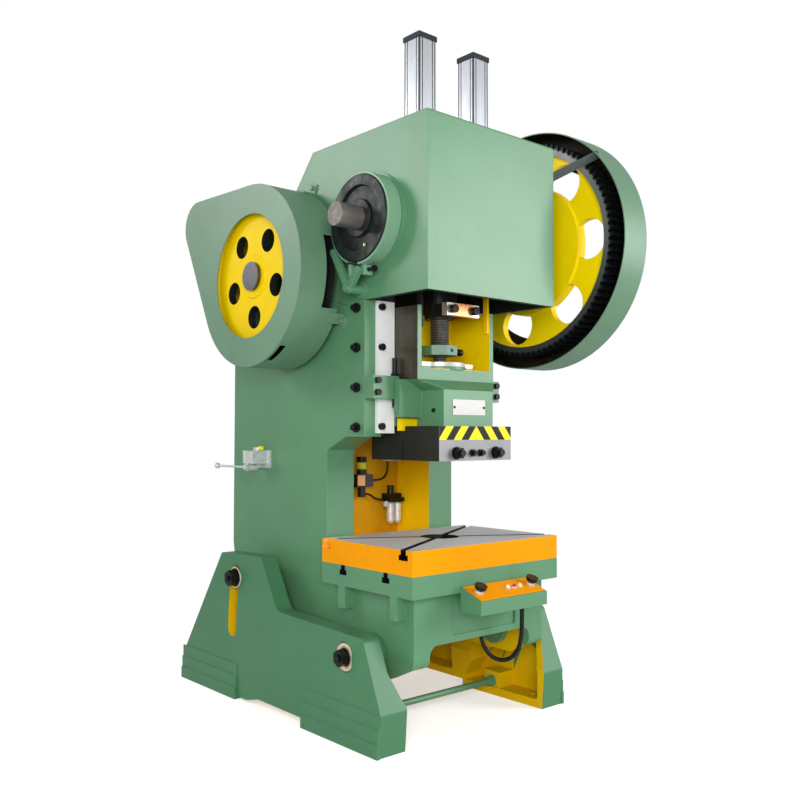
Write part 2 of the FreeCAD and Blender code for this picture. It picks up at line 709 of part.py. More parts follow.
def make_bolster():
    body = new_body("bolster_block")
    top = new_sketch(body, "bolster_top", "XY", s.table_top)
    rectangle(top, -s.bolster_width / 2, s.bolster_front, s.bolster_width / 2,
              s.bolster_front + s.bolster_depth)
    pad(body, top, s.bolster_thick)
    hole = new_sketch(body, "bolster_hole", "XY", s.table_top)
    circle(hole, 0, s.die_axis, s.bolster_hole)
    hollow(body, hole, 4 * s.bolster_thick)
    return body


def diagonal_slot(name, sign):
    """A T-slot through the middle of the bolster's hole, corner to corner."""
    reach = s.bolster_width
    parts = []
    for part, half, low in (("mouth", s.slot_mouth / 2, bolster_top - s.slot_lip),
                            ("head", s.slot_head / 2, bolster_top - s.slot_deep)):
        high = bolster_top + 1 if part == "mouth" else bolster_top - s.slot_lip
        item = doc.addObject("Part::Box", "%s_%s" % (name, part))
        bind(item, "Length", 2 * reach)
        bind(item, "Width", 2 * half)
        bind(item, "Height", high - low)
        angle = sign * s.slot_angle
        turn = FreeCAD.Rotation(Vector(0, 0, 1), angle.value)
        put(item, -reach * cosine(angle) + half * sine(angle),
            s.die_axis - reach * sine(angle) - half * cosine(angle), low, turn)
        parts.append(item)
    return parts


node("bolster_plate", cut("bolster_plate", make_bolster(),
                          *(diagonal_slot("slot_a", 1) + diagonal_slot("slot_b", -1))))

# ---------------------------------------------------------------- slideways

strip_low = s.column_low + 12
strip_high = s.crank_height - 111
strip_front = s.column_front - 15
strip_out = s.channel_half + 26
strip_bolt_x = s.channel_half + 13
strip_bolt_heights = [strip_low + 24, strip_low + 300, strip_low + 440]


def make_gib_strip():
    plate = block("gib_strip_blank", (-strip_out, strip_front, strip_low),
                  (-s.gib_edge, s.column_front, strip_high))
    holes = [rod("gib_strip_hole_%d" % i, 7.3, 40, -strip_bolt_x, s.column_front - 30, height, ALONG_Y)
             for i, height in enumerate(strip_bolt_heights)]
    return cut("gib_strip_left", plate, *holes)


strip_left = node("gib_strip_left", make_gib_strip())
node("gib_strip_right", mirrored("gib_strip_right", strip_left))

side_gib = block("side_gib_left", (-s.channel_half, s.column_front + 0.2, s.column_low + 4),
                 (-s.ear_half - s.fit_gap, s.column_front + 59.8, strip_high))
node("side_gibs", group("side_gibs", [side_gib, mirrored("side_gib_right", side_gib)]))

bolts = []
for i, height in enumerate(strip_bolt_heights):
    bolts.append(fuse("strip_bolt_%d" % i,
                      rod("strip_shank_%d" % i, 7, 15, -strip_bolt_x, strip_front, height, ALONG_Y),
                      rod("strip_head_%d" % i, 12, 13, -strip_bolt_x, strip_front - 13, height, ALONG_Y)))
for i, height in enumerate(gib_bolt_heights):
    bolts.append(fuse("gib_bolt_%d" % i,
                      rod("gib_bolt_shank_%d" % i, 9.8, s.frame_half - s.channel_half + 26,
                          -s.frame_half - 26, gib_bolt_y, height),
                      hexagon("gib_bolt_nut_%d" % i, 30, 14, -s.frame_half - 14, gib_bolt_y, height)))

# Brackets beside the slide, with the stop screws of the knock-out.
bracket_low = strip_low + 119
bracket_high = bracket_low + 80
bracket_out = s.frame_half - 1
bracket_in = s.slide_half + 8
bracket_front = strip_front - 33
bracket_bolt_x = s.frame_half - 18
bracket_bolt_heights = [bracket_low + 22, bracket_high - 17]
stop_x = bracket_in + 11
stop_y = strip_front - 20
bracket_left = cut(
    "stop_bracket_left",
    fuse("bracket_shape",
         block("bracket_block", (-bracket_out, bracket_front, bracket_low),
               (-bracket_in, strip_front, bracket_high)),
         block("bracket_seat", (-bracket_out, strip_front - 1, bracket_low),
               (-strip_out - 2, s.column_front, bracket_high))),
    rod("bracket_hole", 8.2, 120, -stop_x, stop_y, bracket_low - 20, ALONG_Z),
    *[rod("bracket_bolt_hole_%d" % i, 7.3, 80, -bracket_bolt_x, bracket_front - 10, height, ALONG_Y)
      for i, height in enumerate(bracket_bolt_heights)])
node("stop_brackets", group("stop_brackets", [bracket_left, mirrored("stop_bracket_right", bracket_left)]))
for i, height in enumerate(bracket_bolt_heights):
    bolts.append(fuse("bracket_bolt_%d" % i,
                      rod("bracket_bolt_shank_%d" % i, 7, s.column_front - bracket_front, -bracket_bolt_x,
                          bracket_front, height, ALONG_Y),
                      rod("bracket_bolt_head_%d" % i, 11, 12, -bracket_bolt_x, bracket_front - 12, height,
                          ALONG_Y)))
bolts.append(fuse("stop_screw",
                  rod("stop_shank", 8, 172, -stop_x, stop_y, bracket_low - 28, ALONG_Z),
                  hexagon("stop_nut", 24, 10, -stop_x, stop_y, bracket_high, ALONG_Z)))
left_bolts = group("slideway_bolts_left", bolts)
node("slideway_bolts", group("slideway_bolts", [left_bolts, mirrored("slideway_bolts_right", left_bolts)]))

# ---------------------------------------------------------------- knock-out bar and slide

flange_low = slide_low + 72
flange_high = flange_low + 47
nose_high = flange_high + 126
opening_floor = ball_z + 10
slide_high = s.head_low - 19
slide_back = s.die_axis + 135
waist_high = flange_high + 30
bar_low = flange_low + 31
bar_high = bar_low + 43
bar_lift = 25
bar_half = s.slide_half + 4
nose_half = 122

node("knockout_bar", block("knockout_bar", (-bar_half, s.die_axis - 12, bar_low),
                           (bar_half, s.die_axis + 12, bar_high)))


SEAT_HALF = 128


def make_slide():
    wall = s.slide_half - 19
    front = s.die_axis - 89
    upper = block("slide_box", (-s.slide_half, front, nose_high + 36), (s.slide_half, slide_back, slide_high))
    opening = block("slide_opening", (-wall, front - 10, opening_floor),
                    (wall, slide_back - 22, slide_high + 10))
    middle = block("slide_middle", (-s.slide_half, s.die_axis - 35, flange_high),
                   (s.slide_half, slide_back, nose_high + 36))
    nose = block("slide_nose", (-nose_half, s.die_axis - 149, flange_high),
                 (nose_half, s.die_axis - 35, nose_high))
    wings = block("slide_wings", (-s.slide_half - 33, s.die_axis - 35, waist_high),
                  (s.slide_half + 33, s.die_axis - 6, nose_high + 36))
    flange = block("slide_flange", (-178, s.die_axis - 185, flange_low), (178, s.die_axis + 170, flange_high))
    heel = block("slide_heel", (-178, s.die_axis + 2, slide_low), (178, s.die_axis + 170, flange_low))
    ears = block("slide_ears", (-s.ear_half, s.column_front + 0.5, flange_high + 5),
                 (s.ear_half, s.column_front + 59.5, slide_high - 15))
    seat = rod("ball_seat", 96, 12, 0, s.die_axis, opening_floor - 2, ALONG_Z)
    seat_pads = block("seat_pads", (-SEAT_HALF - 2, s.die_axis - 47, opening_floor - 2),
                      (SEAT_HALF + 2, s.die_axis + 47, opening_floor + 10))
    solid = fuse("slide_solid", upper, middle, wings, nose, make_shoulder(front), flange, heel, ears)
    return fuse("slide_seated", cut("slide_open", solid, opening), seat, seat_pads)


def make_shoulder(front):
    """The sloped step between the nose and the wider upper part."""
    body = new_body("slide_shoulder")
    low = new_sketch(body, "shoulder_low", "XY", nose_high - 1)
    rectangle(low, -nose_half, s.die_axis - 149, nose_half, s.die_axis - 30)
    high = new_sketch(body, "shoulder_high", "XY", nose_high + 36)
    rectangle(high, -s.slide_half, front, s.slide_half, s.die_axis - 30)
    loft = body.newObject("PartDesign::AdditiveLoft", "shoulder_loft")
    loft.Profile = (low, [""])
    loft.Sections = [(high, [""])]
    loft.Ruled = True
    return body


slide_cuts = [
    ball("ball_room", s.ball + s.fit_gap, 0, s.die_axis, ball_z),
    rod("ball_way_in", s.ball + s.fit_gap, 40, 0, s.die_axis, ball_z, ALONG_Z),
    rod("shank_room", s.shank_bore, s.shank_deep, 0, s.die_axis, slide_low, ALONG_Z),
    rod("knockout_way", 12, 30, 0, s.die_axis, slide_low + s.shank_deep - 5, ALONG_Z),
    block("bar_slot", (-s.slide_half - 60, s.die_axis - 12.5, bar_low - s.fit_gap),
          (s.slide_half + 60, s.die_axis + 12.5, bar_high + bar_lift + 1)),
]
# The slide is narrower just over its flange, where the bar shows beside it.
for sign, side in SIDES:
    inner, outer = sorted((sign * nose_half, sign * (nose_half + 120)))
    slide_cuts.append(block("waist_" + side, (inner, s.die_axis - 40, flange_high),
                            (outer, strip_front - 2, waist_high)))
for i, x in enumerate((-97, 97)):
    slide_cuts.append(rod("stud_hole_%d" % i, 12, 80, x, s.die_axis - 20, slide_low + 27, ALONG_Y))
node("slide_body", cut("slide_body", make_slide(), *slide_cuts))

clamp_front = s.die_axis - 185
clamp_cuts = [rod("clamp_bore", s.shank_bore, 90, 0, s.die_axis, slide_low - 5, ALONG_Z)]
for i, (x, radius) in enumerate(((-97, 12.2), (97, 12.2), (-20, 8.2), (20, 8.2))):
    clamp_cuts.append(rod("clamp_hole_%d" % i, radius, 200, x, clamp_front - 5, slide_low + 27, ALONG_Y))
node("shank_clamp", cut("shank_clamp",
                        block("shank_clamp_block", (-178, clamp_front, slide_low),
                              (178, s.die_axis - 2, flange_low)), *clamp_cuts))
studs = []
for i, x in enumerate((-97, 97)):
    studs.append(fuse("clamp_stud_%d" % i,
                      rod("stud_bar_%d" % i, 11.9, 245, x, clamp_front - 35, slide_low + 27, ALONG_Y),
                      rod("stud_washer_%d" % i, 22, 4, x, clamp_front - 4, slide_low + 27, ALONG_Y),
                      hexagon("stud_nut_%d" % i, 36, 20, x, clamp_front - 24, slide_low + 27, ALONG_Y)))
for i, x in enumerate((-20, 20)):
    studs.append(fuse("set_screw_%d" % i,
                      rod("set_screw_bar_%d" % i, 8, 150, x, clamp_front - 20, slide_low + 27, ALONG_Y),
                      hexagon("set_screw_nut_%d" % i, 24, 9, x, clamp_front - 9, slide_low + 27, ALONG_Y)))
node("shank_clamp_bolts", group("shank_clamp_bolts", studs))

ring_low = opening_floor + 10
ring_high = ring_low + 15
ring_parts = [rod("seat_ring_disc", 93, ring_high - ring_low, 0, s.die_axis, ring_low, ALONG_Z),
              block("seat_ring_plate", (-SEAT_HALF, s.die_axis - 45, ring_low),
                    (SEAT_HALF, s.die_axis + 45, ring_high))]
for i, x in enumerate((-112, 112)):
    ring_parts.append(rod("seat_ring_bolt_%d" % i, 11, 10, x, s.die_axis, ring_high, ALONG_Z))
node("seat_ring", cut("seat_ring", fuse("seat_ring_blank", *ring_parts),
                      ball("seat_ring_cup", s.ball + s.fit_gap, 0, s.die_axis, ball_z),
                      rod("seat_ring_hole", 31, 40, 0, s.die_axis, ring_low - 10, ALONG_Z)))

# ---------------------------------------------------------------- ball screw, rod and crank

collar_low = ball_z + 63
collar_high = collar_low + 35
rod_low = collar_high + 97
screw_high = crank_pin_z - s.crank_pin - s.pin_play - 14
collar = doc.addObject("Part::Prism", "collar_octagon")
collar.Polygon = 8
bind(collar, "Circumradius", 70)
bind(collar, "Height", collar_high - collar_low)
put(collar, 0, s.die_axis, collar_low, FreeCAD.Rotation(Vector(0, 0, 1), 22.5))
collar_bolt = fuse("collar_bolt",
                   rod("collar_bolt_shank", 7, 34, 50, s.die_axis - 12, collar_low + 17),
                   rod("collar_bolt_head", 13, 16, 82, s.die_axis - 12, collar_low + 17))
node("locking_collar", cut("locking_collar", fuse("collar_shape", collar, collar_bolt),
                           rod("collar_bore", s.screw_radius, 60, 0, s.die_axis, collar_low - 10, ALONG_Z),
                           rod("collar_spanner_hole", 7, 40, 0, s.die_axis - 80, collar_low + 17, ALONG_Y)))
node("ball_screw", fuse("ball_screw",
                        ball("screw_ball", s.ball, 0, s.die_axis, ball_z),
                        rod("screw_neck", 24, 60, 0, s.die_axis, ball_z + 10, ALONG_Z),
                        rod("screw_stem", s.screw_radius, screw_high - collar_low, 0, s.die_axis, collar_low,
                            ALONG_Z)))

eye_bore = s.crank_pin + s.pin_play
eye_out = eye_bore + 27
eye_half = 56
eye = rod("rod_eye", eye_out, 2 * eye_half, -eye_half, s.die_axis, crank_pin_z)
# The stem is flat on both sides, so that it passes between the crank's webs.
stem = doc.addObject("Part::Common", "rod_stem")
stem.Base = cone("rod_stem_cone", 54, 74, crank_pin_z - 80 - rod_low, 0, s.die_axis, rod_low, ALONG_Z)
stem.Tool = block("rod_stem_width", (-eye_half, s.die_axis - 100, rod_low - 5),
                  (eye_half, s.die_axis + 100, crank_pin_z))
jaw = block("rod_jaw", (-52, s.die_axis - 96, rod_low + 4), (52, s.die_axis - 20, rod_low + 50))
eye_hole = rod("rod_eye_hole", eye_bore, 200, -100, s.die_axis, crank_pin_z)
screw_hole = rod("rod_screw_hole", s.screw_radius + s.fit_gap, screw_high + 6 - rod_low + 10, 0,
                 s.die_axis, rod_low - 10, ALONG_Z)
upper_half = block("rod_split", (-200, s.die_axis - 300, crank_pin_z),
                   (200, s.die_axis + 300, crank_pin_z + 300))
node("connecting_rod", cut("connecting_rod", fuse("rod_shape", eye, stem, jaw),
                           eye_hole, screw_hole, upper_half))
cap_ring = cut("rod_cap_ring",
               rod("rod_cap_blank", eye_out, 2 * eye_half, -eye_half, s.die_axis, crank_pin_z),
               rod("rod_cap_hole", eye_bore, 200, -100, s.die_axis, crank_pin_z),
               block("rod_cap_split", (-200, s.die_axis - 300, crank_pin_z - 300),
                     (200, s.die_axis + 300, crank_pin_z)))
node("rod_cap", cap_ring)
clamp_plate = block("clamp_plate", (-80, s.die_axis - 122, rod_low + 2), (80, s.die_axis - 96, rod_low + 46))
clamp_items = [clamp_plate]
for i, x in enumerate((-53, 53)):
    clamp_items.append(rod("clamp_head_%d" % i, 15, 17, x, s.die_axis - 139, rod_low + 24, ALONG_Y))
node("rod_clamp", fuse("rod_clamp", *clamp_items))


def make_crank():
    """One forging: drum seat, two journals, two webs round the pin, gear seat."""
    web_start, web_end = eye_half + 2, eye_half + 52
    left_end, right_end = -s.frame_half - 165, gear_far + 18
    drum_seat = -s.frame_half - 12
    parts = [
        rod("crank_end", 40.5, drum_seat - left_end, left_end, s.die_axis, s.crank_height),
        rod("crank_left", s.journal, -web_end + 10 - drum_seat, drum_seat, s.die_axis, s.crank_height),
        rod("crank_right", s.journal, gear_near - 24 - web_end + 10, web_end - 10, s.die_axis,
            s.crank_height),
        rod("crank_gear_seat", 55, right_end - gear_near + 25, gear_near - 25, s.die_axis,
            s.crank_height),
        rod("crank_pin_bar", s.crank_pin, 2 * web_start + 20, -web_start - 10, s.die_axis, crank_pin_z),
    ]
    for sign, side in SIDES:
        body = new_body("crank_web_" + side)
        sketch = new_sketch(body, "web_outline_" + side, "YZ", sign * (web_start + web_end) / 2)
        wrap(sketch, (s.die_axis, crank_pin_z, s.crank_pin + 24),
             (s.die_axis, s.crank_height, s.journal + 16))
        slab(body, sketch, web_end - web_start)
        parts.append(body)
    return fuse("crankshaft", *parts)


node("crankshaft", make_crank())

bush_run = s.journal + 0.05
bush_out = s.journal + s.bush_wall - s.seat_gap
bush_left = cut("crank_bush_left",
                rod("bush_left_blank", bush_out, s.frame_half + 8 - s.window_half, -s.frame_half - 8,
                    s.die_axis, s.crank_height),
                rod("bush_left_bore", bush_run, 400, -s.frame_half - 50, s.die_axis, s.crank_height))
bush_right = cut("crank_bush_right",
                 rod("bush_right_blank", bush_out, gear_near - 34 - s.window_half, s.window_half,
                     s.die_axis, s.crank_height),
                 rod("bush_right_bore", bush_run, 600, s.window_half - 50, s.die_axis, s.crank_height))
node("crank_bushes", group("crank_bushes", [bush_left, bush_right]))

# ---------------------------------------------------------------- brake

drum_radius = size(149)
drum_near = -s.frame_half - 14
node("brake_drum", turned("brake_drum", [
    (-71, 40.5), (-71, 66, 4), (-61, 66), (-61, 108), (-71, 112), (-71, drum_radius, 3),
    (drum_near + s.frame_half, drum_radius), (drum_near + s.frame_half, 126), (-26, 126), (-26, 72),
    (-14, 72), (-14, 40.5)], -s.frame_half, s.die_axis, s.crank_height))

band_wide = 56
band_start = -s.frame_half - 65
band_ring = cut("brake_band_ring",
                rod("band_outer", drum_radius + 7.5, band_wide, band_start, s.die_axis, s.crank_height),
                rod("band_inner", drum_radius + 0.5, band_wide + 20, band_start - 10, s.die_axis,
                    s.crank_height),
                block("band_mouth", (band_start - 10, s.die_axis + 5, s.crank_height - 190),
                      (band_start + 80, s.die_axis + 65, s.crank_height - 100)))
ears = []
ear_start = band_start + 18
ear_middle = (ear_start + band_start + band_wide) / 2
for i, y in enumerate((-9, 65)):
    ears.append(block("band_ear_%d" % i, (ear_start, s.die_axis + y, s.crank_height - 190),
                      (band_start + band_wide, s.die_axis + y + 14, s.crank_height - 146)))
band_shape = cut("brake_band_trim", fuse("brake_band_shape", band_ring, *ears),
                 rod("band_clear", drum_radius + 0.5, band_wide + 20, band_start - 10, s.die_axis,
                     s.crank_height),
                 rod("band_bolt_hole", 7, 140, ear_middle, s.die_axis - 30,
                     s.crank_height - 172, ALONG_Y))
node("brake_band", band_shape)


def make_brake_bracket():
    """A forked bracket under the band: its two arms lie in one plane, its foot is on the frame."""
    body = new_body("brake_fork")
    apex = (s.die_axis + 57, s.crank_height - 232)
    ends = ((s.die_axis + 144, s.crank_height - 96), (s.die_axis + 3, s.crank_height - 174))
    for number, (u, v) in enumerate(ends):
        sketch = new_sketch(body, "brake_arm_%d" % number, "YZ", band_start + 5)
        wrap(sketch, (apex[0], apex[1], 14), (u, v, 11))
        slab(body, sketch, 18)
    return fuse("brake_bracket", body,
                rod("brake_foot", 17, -s.frame_half - band_start, band_start, *apex),
                rod("brake_foot_plate", 30, 8, -s.frame_half - 8, *apex),
                hexagon("brake_foot_bolt", 24, 10, band_start - 14, *apex))


node("brake_bracket", make_brake_bracket())
node("brake_bolt", fuse("brake_bolt",
                        rod("brake_bolt_bar", 6.5, 150, ear_middle, s.die_axis - 36,
                            s.crank_height - 172, ALONG_Y),
                        hexagon("brake_bolt_head", 20, 9, ear_middle, s.die_axis - 45,
                                s.crank_height - 172, ALONG_Y),
                        hexagon("brake_bolt_nut", 20, 10, ear_middle, s.die_axis + 79,
                                s.crank_height - 172, ALONG_Y)))

# ---------------------------------------------------------------- gears


def tooth_wheel(teeth, teeth_per_flank, turn, thin):
    """The outline of a spur gear with involute flanks, centred, as a closed wire in Y-Z."""
    module = s.gear_module.value
    pitch = module * teeth / 2
    base = pitch * math.cos(math.radians(20))
    tip = pitch + module
    root = pitch - 1.25 * module
    inv_pitch = math.tan(math.radians(20)) - math.radians(20)
    half_thick = math.pi / (2 * teeth) - thin / (2 * pitch)

    def flank_angle(radius):
        if radius <= base:
            return half_thick + inv_pitch
        press = math.acos(base / radius)
        return half_thick + inv_pitch - (math.tan(press) - press)

    start = max(root, base)
    radii = [start + (tip - start) * i / teeth_per_flank for i in range(teeth_per_flank + 1)]
    if root < base:
        radii.insert(0, root)
    points = []
    for tooth in range(teeth):
        middle = turn + 2 * math.pi * tooth / teeth
        for radius in radii:
            angle = middle - flank_angle(radius)
            points.append(Vector(0, radius * math.cos(angle), radius * math.sin(angle)))
        for radius in reversed(radii):
            angle = middle + flank_angle(radius)
            points.append(Vector(0, radius * math.cos(angle), radius * math.sin(angle)))
    return Part.makePolygon(points + [points[0]])


def toothed_feature(name, teeth, teeth_per_flank, turn, x, y, z, width):
    """A solid spur wheel whose teeth are worked out from the sheet."""
    wire = tooth_wheel(int(size(teeth).value), teeth_per_flank, turn, 0.5)
    item = doc.addObject("Part::Feature", name)
    item.Shape = Part.Face(wire).extrude(Vector(size(width).value, 0, 0))
    return put(item, x, y, z)


# The line of centres meets a tooth of the pinion and a gap of the bull gear.
to_pinion = math.atan2(drive_z.value - s.crank_height.value, drive_y.value - s.die_axis.value)
gear_turn = to_pinion + math.pi / s.gear_teeth.value
gear_disc = toothed_feature("gear_disc", s.gear_teeth, 1, gear_turn, gear_near, s.die_axis,
                            s.crank_height, s.gear_wide)
rim_in = gear_pitch - 1.25 * s.gear_module - 20
gear_web_near = 22
gear_web_far = 52


def make_web_cutter():
    """What is turned and cut away inside the rim, leaving the web with its seven windows."""
    body = new_body("gear_inside")
    sketch = new_sketch(body, "gear_inside_profile", "XZ")
    outline(sketch, [(-10, 98), (gear_web_near - 8, 98), (gear_web_near - 8, 255), (gear_web_near, 259),
                     (gear_web_near, rim_in - 4), (gear_web_near - 6, rim_in), (-10, rim_in)])
    turn = body.newObject("PartDesign::Revolution", "gear_near_recess")
    turn.Profile = (sketch, [""])
    turn.ReferenceAxis = (sketch, ["H_Axis"])
    turn.Angle = 360
    put(body, gear_near, s.die_axis, s.crank_height)
    return body


def make_far_cutter():
    body = new_body("gear_outside")
    sketch = new_sketch(body, "gear_outside_profile", "XZ")
    outline(sketch, [(s.gear_wide + 10, 98), (s.gear_wide + 10, rim_in), (gear_web_far + 6, rim_in),
                     (gear_web_far, rim_in - 4), (gear_web_far, 259), (gear_web_far + 8, 255),
                      (gear_web_far + 8, 98)])
    turn = body.newObject("PartDesign::Revolution", "gear_far_recess")
    turn.Profile = (sketch, [""])
    turn.ReferenceAxis = (sketch, ["H_Axis"])
    turn.Angle = 360
    put(body, gear_near, s.die_axis, s.crank_height)
    return body


def make_windows():
    """Seven round windows that the hub plate covers a little of."""
    windows = []
    for i in range(7):
        angle = 178.5 + i * 360 / 7
        windows.append(rod("gear_window_%d" % i, 77, 90, gear_near - 5, s.die_axis + 298 * cosine(angle),
                           s.crank_height + 298 * sine(angle)))
    plate = rod("gear_hub_plate", 255, 110, gear_near - 10, s.die_axis, s.crank_height)
    return cut("gear_windows", fuse("gear_window_ring", *windows), plate)


node("bull_gear", cut("bull_gear", gear_disc, make_web_cutter(), make_far_cutter(), make_windows(),
                      rod("gear_bore", 55 + s.seat_gap, 300, gear_near - 50, s.die_axis, s.crank_height)))

# ---------------------------------------------------------------- flywheel, shaft and pinion

node("pinion", cut("pinion", toothed_feature("pinion_teeth", s.pinion_teeth, 2, to_pinion + math.pi,
                                             gear_near - 2, drive_y, drive_z, s.gear_wide + 4),
                   rod("pinion_bore", s.drive_shaft + s.seat_gap, 200, gear_near - 40, drive_y,
                       drive_z)))
shaft_left = -flywheel_far - 8
wheel_wide = flywheel_far - flywheel_near
wheel_rim = s.flywheel_radius - 42
wheel_web = 12
wheel_hub = 6
node("pinion_shaft", fuse("pinion_shaft",
                          rod("drive_shaft_bar", s.drive_shaft, gear_far + 14 - shaft_left, shaft_left,
                              drive_y, drive_z),
                          rod("drive_shaft_cap", 53, 8 + wheel_hub - s.seat_gap, shaft_left,
                              drive_y, drive_z)))
GROOVES = 4
groove_pitch = 20
groove_first = wheel_wide - 22


def make_flywheel():
    """A turned casting: deep rim with V-grooves, web with five round holes, long hub."""
    bore = s.drive_shaft + s.seat_gap
    web_back = wheel_web + 32
    profile = [(wheel_hub, bore), (wheel_hub, 78), (wheel_web, 82), (wheel_web, wheel_rim - 4),
               (0, wheel_rim), (0, s.flywheel_radius)]
    for i in range(GROOVES):
        middle = groove_first - (GROOVES - 1 - i) * groove_pitch
        profile += [(middle - 8.5, s.flywheel_radius), (middle - 5, s.flywheel_radius - 14),
                    (middle + 5, s.flywheel_radius - 14), (middle + 8.5, s.flywheel_radius)]
    profile += [(wheel_wide, s.flywheel_radius), (wheel_wide, wheel_rim), (web_back, wheel_rim - 8),
                (web_back, 88), (wheel_wide - 6, 78), (wheel_wide - 6, bore)]
    body = turned("flywheel_cast", profile, -flywheel_far, drive_y, drive_z)
    hole = new_sketch(body, "flywheel_hole", "YZ", wheel_web + 16)
    circle(hole, 150 * cosine(-90), 150 * sine(-90), 42)
    first = hollow(body, hole, 60)
    repeat_round(body, [first], hole, 5)
    return body


node("flywheel", make_flywheel())

bearings = []
for side, start, flange in (("left", -s.frame_half - 28, -s.frame_half - 28),
                            ("right", gear_near - 104, gear_near - 40)):
    bearings.append(cut("shaft_bearing_" + side,
                        fuse("bearing_shape_" + side,
                             rod("bearing_sleeve_" + side, s.drive_shaft + 8 - s.seat_gap, 80, start,
                                 drive_y, drive_z),
                             rod("bearing_flange_" + side, 76, 16, flange, drive_y, drive_z)),
                        rod("bearing_bore_" + side, s.drive_shaft + 0.05, 300, start - 100, drive_y,
                            drive_z)))
node("shaft_bearings", group("shaft_bearings", bearings))

# ---------------------------------------------------------------- motor, pulley and belts

slope = math.degrees(math.atan2(s.head_top.value - s.head_shoulder.value,
                                s.body_back.value - s.head_back.value))
LEAN = FreeCAD.Rotation(Vector(1, 0, 0), -slope)
slope_y, slope_z = math.cos(math.radians(slope)), -math.sin(math.radians(slope))


def on_back(item, x, along, off):
    """Places an item on the slanted back: so far down the slope, so far off it."""
    y = s.head_back + along * slope_y - off * slope_z
    z = s.head_top + along * slope_z + off * slope_y
    return put(item, x, y, z, LEAN)


def lean_block(name, x, along, off, wide, length, thick):
    item = doc.addObject("Part::Box", name)
    bind(item, "Length", wide)
    bind(item, "Width", length)
    bind(item, "Height", thick)
    return on_back(item, x, along, off)


gap_y, gap_z = motor_y.value - s.head_back.value, motor_z.value - s.head_top.value
motor_along = gap_y * slope_y + gap_z * slope_z
motor_off = -gap_y * slope_z + gap_z * slope_y
plate_off = motor_off - s.motor_radius.value - 30
motor_left = -s.frame_half - 6
plate_parts = [lean_block("motor_plate_top", -280, motor_along - 150, plate_off, 400, 300, 16)]
for i, x in enumerate((-240, 40)):
    plate_parts.append(lean_block("motor_plate_leg_%d" % i, x, motor_along - 120, 0, 30, 240, plate_off + 1))
node("motor_plate", fuse("motor_plate", *plate_parts))
motor_parts = [
    rod("motor_frame", s.motor_radius, 300, motor_left + 60, motor_y, motor_z),
    rod("motor_front_bell", s.motor_radius - 6, 60, motor_left, motor_y, motor_z),
    rod("motor_fan_cover", s.motor_radius + 2, 90, motor_left + 360, motor_y, motor_z),
    lean_block("motor_feet", -230, motor_along - 108, plate_off + 16, 220, 216, 18),
    lean_block("motor_feet_web", -200, motor_along - 80, plate_off + 30, 160, 160, 40),
    block("motor_terminal_box", (motor_left + 120, motor_y - 10, motor_z + s.motor_radius - 10),
          (motor_left + 230, motor_y + 90, motor_z + s.motor_radius + 60)),
]
for i in range(12):
    angle = 30 * i + 15
    fin = doc.addObject("Part::Box", "motor_fin_%d" % i)
    bind(fin, "Length", 280)
    bind(fin, "Width", 8)
    bind(fin, "Height", s.motor_radius + 10)
    turn = FreeCAD.Rotation(Vector(1, 0, 0), angle)
    put(fin, motor_left + 70, motor_y - 4 * math.cos(math.radians(angle)),
        motor_z - 4 * math.sin(math.radians(angle)), turn)
    motor_parts.append(fin)
node("motor", cut("motor", fuse("motor_shape", *motor_parts),
                  rod("motor_bore", 19.05, 130, motor_left - 10, motor_y, motor_z)))
node("motor_shaft", rod("motor_shaft", 19, 230, motor_left - 120, motor_y, motor_z))

belt_middles = [-flywheel_far + groove_first - (GROOVES - 1 - i) * groove_pitch for i in range(GROOVES)]
pulley_start = belt_middles[0] - 14
pulley_profile = [(0, 19 + s.seat_gap), (0, s.pulley_radius)]
for i in range(GROOVES):
    middle = 14 + i * groove_pitch
    pulley_profile += [(middle - 8.5, s.pulley_radius), (middle - 5, s.pulley_radius - 14),
                       (middle + 5, s.pulley_radius - 14), (middle + 8.5, s.pulley_radius)]
pulley_end = 28 + (GROOVES - 1) * groove_pitch
pulley_profile += [(pulley_end, s.pulley_radius), (pulley_end, 19 + s.seat_gap)]
node("motor_pulley", turned("motor_pulley", pulley_profile, pulley_start, motor_y, motor_z))


def make_belt(number, middle):
    body = new_body("belt_%d" % number)
    flywheel_pitch, pulley_pitch = s.flywheel_radius, s.pulley_radius
    for part, grow in (("outer", 2), ("inner", -8)):
        sketch = new_sketch(body, "belt_%s_%d" % (part, number), "YZ", middle)
        wrap(sketch, (drive_y, drive_z, flywheel_pitch + grow),
             (motor_y, motor_z, pulley_pitch + grow))
        if part == "outer":
            slab(body, sketch, 11)
        else:
            hollow(body, sketch, 40)
    return body


node("v_belts", group("v_belts", [make_belt(i, middle) for i, middle in enumerate(belt_middles)]))

# ---------------------------------------------------------------- guards


def make_guard(name, near, far, big, small, hole):
    """A sheet-metal drum round a wheel and a smaller one, open towards the press.
    near and far are X of its open edge and of its plate; hole is (y, z, radius)."""
    body = new_body(name)
    deep = size(far) - near
    length = deep if deep.value > 0 else -deep
    sheet_thick = s.guard_sheet
    outer = new_sketch(body, name + "_outer", "YZ", (size(near) + far) / 2)
    wrap(outer, big, small)
    slab(body, outer, length)
    inside = [(c[0], c[1], size(c[2]) - sheet_thick) for c in (big, small)]
    inward = sheet_thick if deep.value > 0 else -sheet_thick
    inner = new_sketch(body, name + "_inner", "YZ", (size(near) + far) / 2 - inward)
    wrap(inner, *inside)
    hollow(body, inner, length)
    opening = new_sketch(body, name + "_hole", "YZ", far)
    circle(opening, *hole)
    hollow(body, opening, 4 * sheet_thick)
    return body


